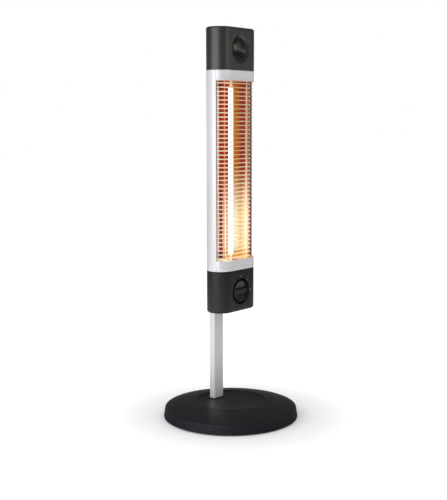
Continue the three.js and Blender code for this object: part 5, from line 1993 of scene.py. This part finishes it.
@dataclass
class Studio:
    """Pale floor, white surroundings, soft lamps and the camera.

    The floor's rings are spans over which a tone comes or goes, by the square of
    the distance from the heater as a share of the square of floor_bright.
    """

    camera_place: Point = (-1.8536, -1.5009, 0.7387)
    view: Point = (0.76596, 0.62960, -0.13008)
    roll: float = math.radians(-0.099)
    focal_pixels: float = 962.738
    frame_height: float = 500.0
    sensor: float = 36.0
    clip_end: float = 60.0
    ambient: float = 0.88
    high_tone: float = 0.12
    horizon: Pair = (-0.02, 0.06)
    floor_size: float = 30.0
    floor_colour: Colour = (0.86, 0.86, 0.87)
    floor_lift: float = 0.3
    lift_ring: Pair = (0.02, 0.11)
    floor_mirrored: float = 0.12
    floor_near: float = 1.0
    floor_bright: float = 1.2
    near_rings: tuple[Pair, Pair] = ((0.06, 0.14), (0.8, 2.0))
    floor_left: float = 0.55
    left_spans: tuple[Pair, Pair] = ((-1.25, -0.8), (-0.6, -0.1))
    lamps: Sequence[Softbox] = LAMPS

    def build(self) -> None:
        """Sets the camera, the lamps, the surroundings and the floor."""
        self._camera()
        self._world()
        self._floor()
        for lamp in self.lamps:
            lamp.light()
        bpy.context.scene.view_settings.view_transform = "Standard"

    def _camera(self) -> None:
        """Puts the camera at the photograph's place."""
        data = bpy.data.cameras.new("camera")
        data.sensor_width = self.sensor
        data.lens = self.focal_pixels * self.sensor / self.frame_height
        data.clip_end = self.clip_end
        camera = bpy.data.objects.new("camera", data)
        camera.location = self.camera_place
        turn = Vector(self.view).to_track_quat("-Z", "Y")
        camera.rotation_mode = "QUATERNION"
        camera.rotation_quaternion = turn @ Matrix.Rotation(self.roll, 4, "Z").to_quaternion()
        bpy.context.scene.collection.objects.link(camera)
        bpy.context.scene.camera = camera

    @staticmethod
    def _rays(kit: NodeKit) -> tuple[Number, Number]:
        """Asks what kind of ray has come.

        Args:
            kit: The tree's nodes.

        Returns:
            1 for a ray from the camera itself, and 1 for a mirrored or bent one.
        """
        rays = kit.add("ShaderNodeLightPath").outputs
        seen, glossy, bent = (
            Number(kit, rays[f"Is {kind} Ray"]) for kind in ("Camera", "Glossy", "Transmission")
        )
        return seen, glossy.larger(bent)

    def _world(self) -> None:
        """White surroundings, with a plain grey for the light that they give."""
        world = bpy.data.worlds.new("studio")
        world.use_nodes = True
        world.node_tree.nodes.clear()
        kit = NodeKit(world.node_tree)
        seen, mirrored = self._rays(kit)
        direction = kit.add("ShaderNodeTexCoord").outputs["Generated"]
        height = kit.add("ShaderNodeSeparateXYZ", None, {0: direction}).outputs[2]
        shown = 1 - kit.fade(height, *self.horizon) * (1 - self.high_tone)
        level = seen.larger(mirrored * shown) + (1 - seen.larger(mirrored)) * self.ambient
        ground = kit.add("ShaderNodeBackground", None, {"Color": (1, 1, 1, 1), "Strength": level})
        kit.add("ShaderNodeOutputWorld", None, {0: ground.outputs[0]})
        bpy.context.scene.world = world

    def _floor(self) -> None:
        """A pale floor that stays white to the camera and keeps the shadow."""
        half = self.floor_size / 2
        corners = [(-half, -half, 0.0), (half, -half, 0.0), (half, half, 0.0), (-half, half, 0.0)]
        mesh = bpy.data.meshes.new("floor")
        mesh.from_pydata(corners, [], [(0, 1, 2, 3)])
        mesh.materials.append(self._floor_material())
        floor = link("floor", mesh)

    def _floor_material(self) -> bpy.types.Material:
        """Makes the floor's material, with its own tone for what mirrors it.

        Returns:
            The material.
        """
        material = bpy.data.materials.new("floor")
        material.use_nodes = True
        material.node_tree.nodes.clear()
        kit = NodeKit(material.node_tree)
        seen, mirrored = self._rays(kit)
        _, (x, y, _) = kit.position()
        ring = (x * x + y * y) / (self.floor_bright**2)
        near = kit.zone(ring, *self.near_rings)
        tone = near * (self.floor_near - self.floor_mirrored) + self.floor_mirrored
        colour = kit.blend(mirrored * (1 - tone), self.floor_colour, BLACK)
        matt = kit.add("ShaderNodeBsdfDiffuse", None, {"Color": colour})
        left = kit.zone(x, *self.left_spans) * near * self.floor_left
        # To the camera the lift fades out near the heater: the floor round the base darkens by its
        # real shadow and by painted shade where the lift is missing.
        lift = seen * (kit.fade(ring, *self.lift_ring) * self.floor_lift) + mirrored * left
        lit = kit.add("ShaderNodeEmission", None, {"Strength": lift})
        both = kit.add("ShaderNodeAddShader", None, {0: matt.outputs[0], 1: lit.outputs[0]})
        kit.add("ShaderNodeOutputMaterial", None, {0: both.outputs[0]})
        return material


# ---------------------------------------------------------------------------
# Assembly
# ---------------------------------------------------------------------------


def dress_frame(frame: Mapping[str, Any]) -> None:
    """Gives every node of the frame the finish of its material slot.

    Args:
        frame: The loaded frame.
    """
    slots = {part["node"]: part["material_slot"] for part in frame["record"]["subparts"]}
    for name, node in frame["nodes"].items():
        material = SLOT_FINISHES[slots[name]].material()
        if not node.material_slots:
            node.data.materials.append(material)
        for place in node.material_slots:
            place.material = material


def main() -> None:
    """Builds the heater's looks and its studio."""
    logging.basicConfig(level=logging.INFO, format="%(name)s %(message)s")
    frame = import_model()
    dress_frame(frame)
    Studio().build()
    plan, nodes = SlotPlan(), sorted(frame["nodes"])
    knob_z = next(j for j in frame["joints"] if j["name"] == "knob_turn")["pos_m"][2]
    eye_low, eye_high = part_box("receiver_eye")
    eye_z = (eye_low.z + eye_high.z) / 2
    knob_dish = Dish(radius=0.033, draft=0.0044, depth=0.011, centre_z=knob_z, lip=0.0005)
    eye_dish = Dish(radius=0.0345, draft=0.008, depth=0.0065, centre_z=eye_z, lip=0.0016)
    assemblies = (
        Base(nodes),
        Pole(nodes),
        Shell(plan, nodes),
        Cap(plan, End.BOTTOM, knob_dish, BLACK_MOULDING, "black_moulding"),
        Cap(plan, End.TOP, eye_dish, CHARCOAL, "charcoal"),
        Guard(plan),
        Lamp(),
        Dial(plan, knob_dish),
        Eye(plan, eye_dish),
    )
    for assembly in assemblies:
        assembly.build()


if __name__ == "__main__":
    main()
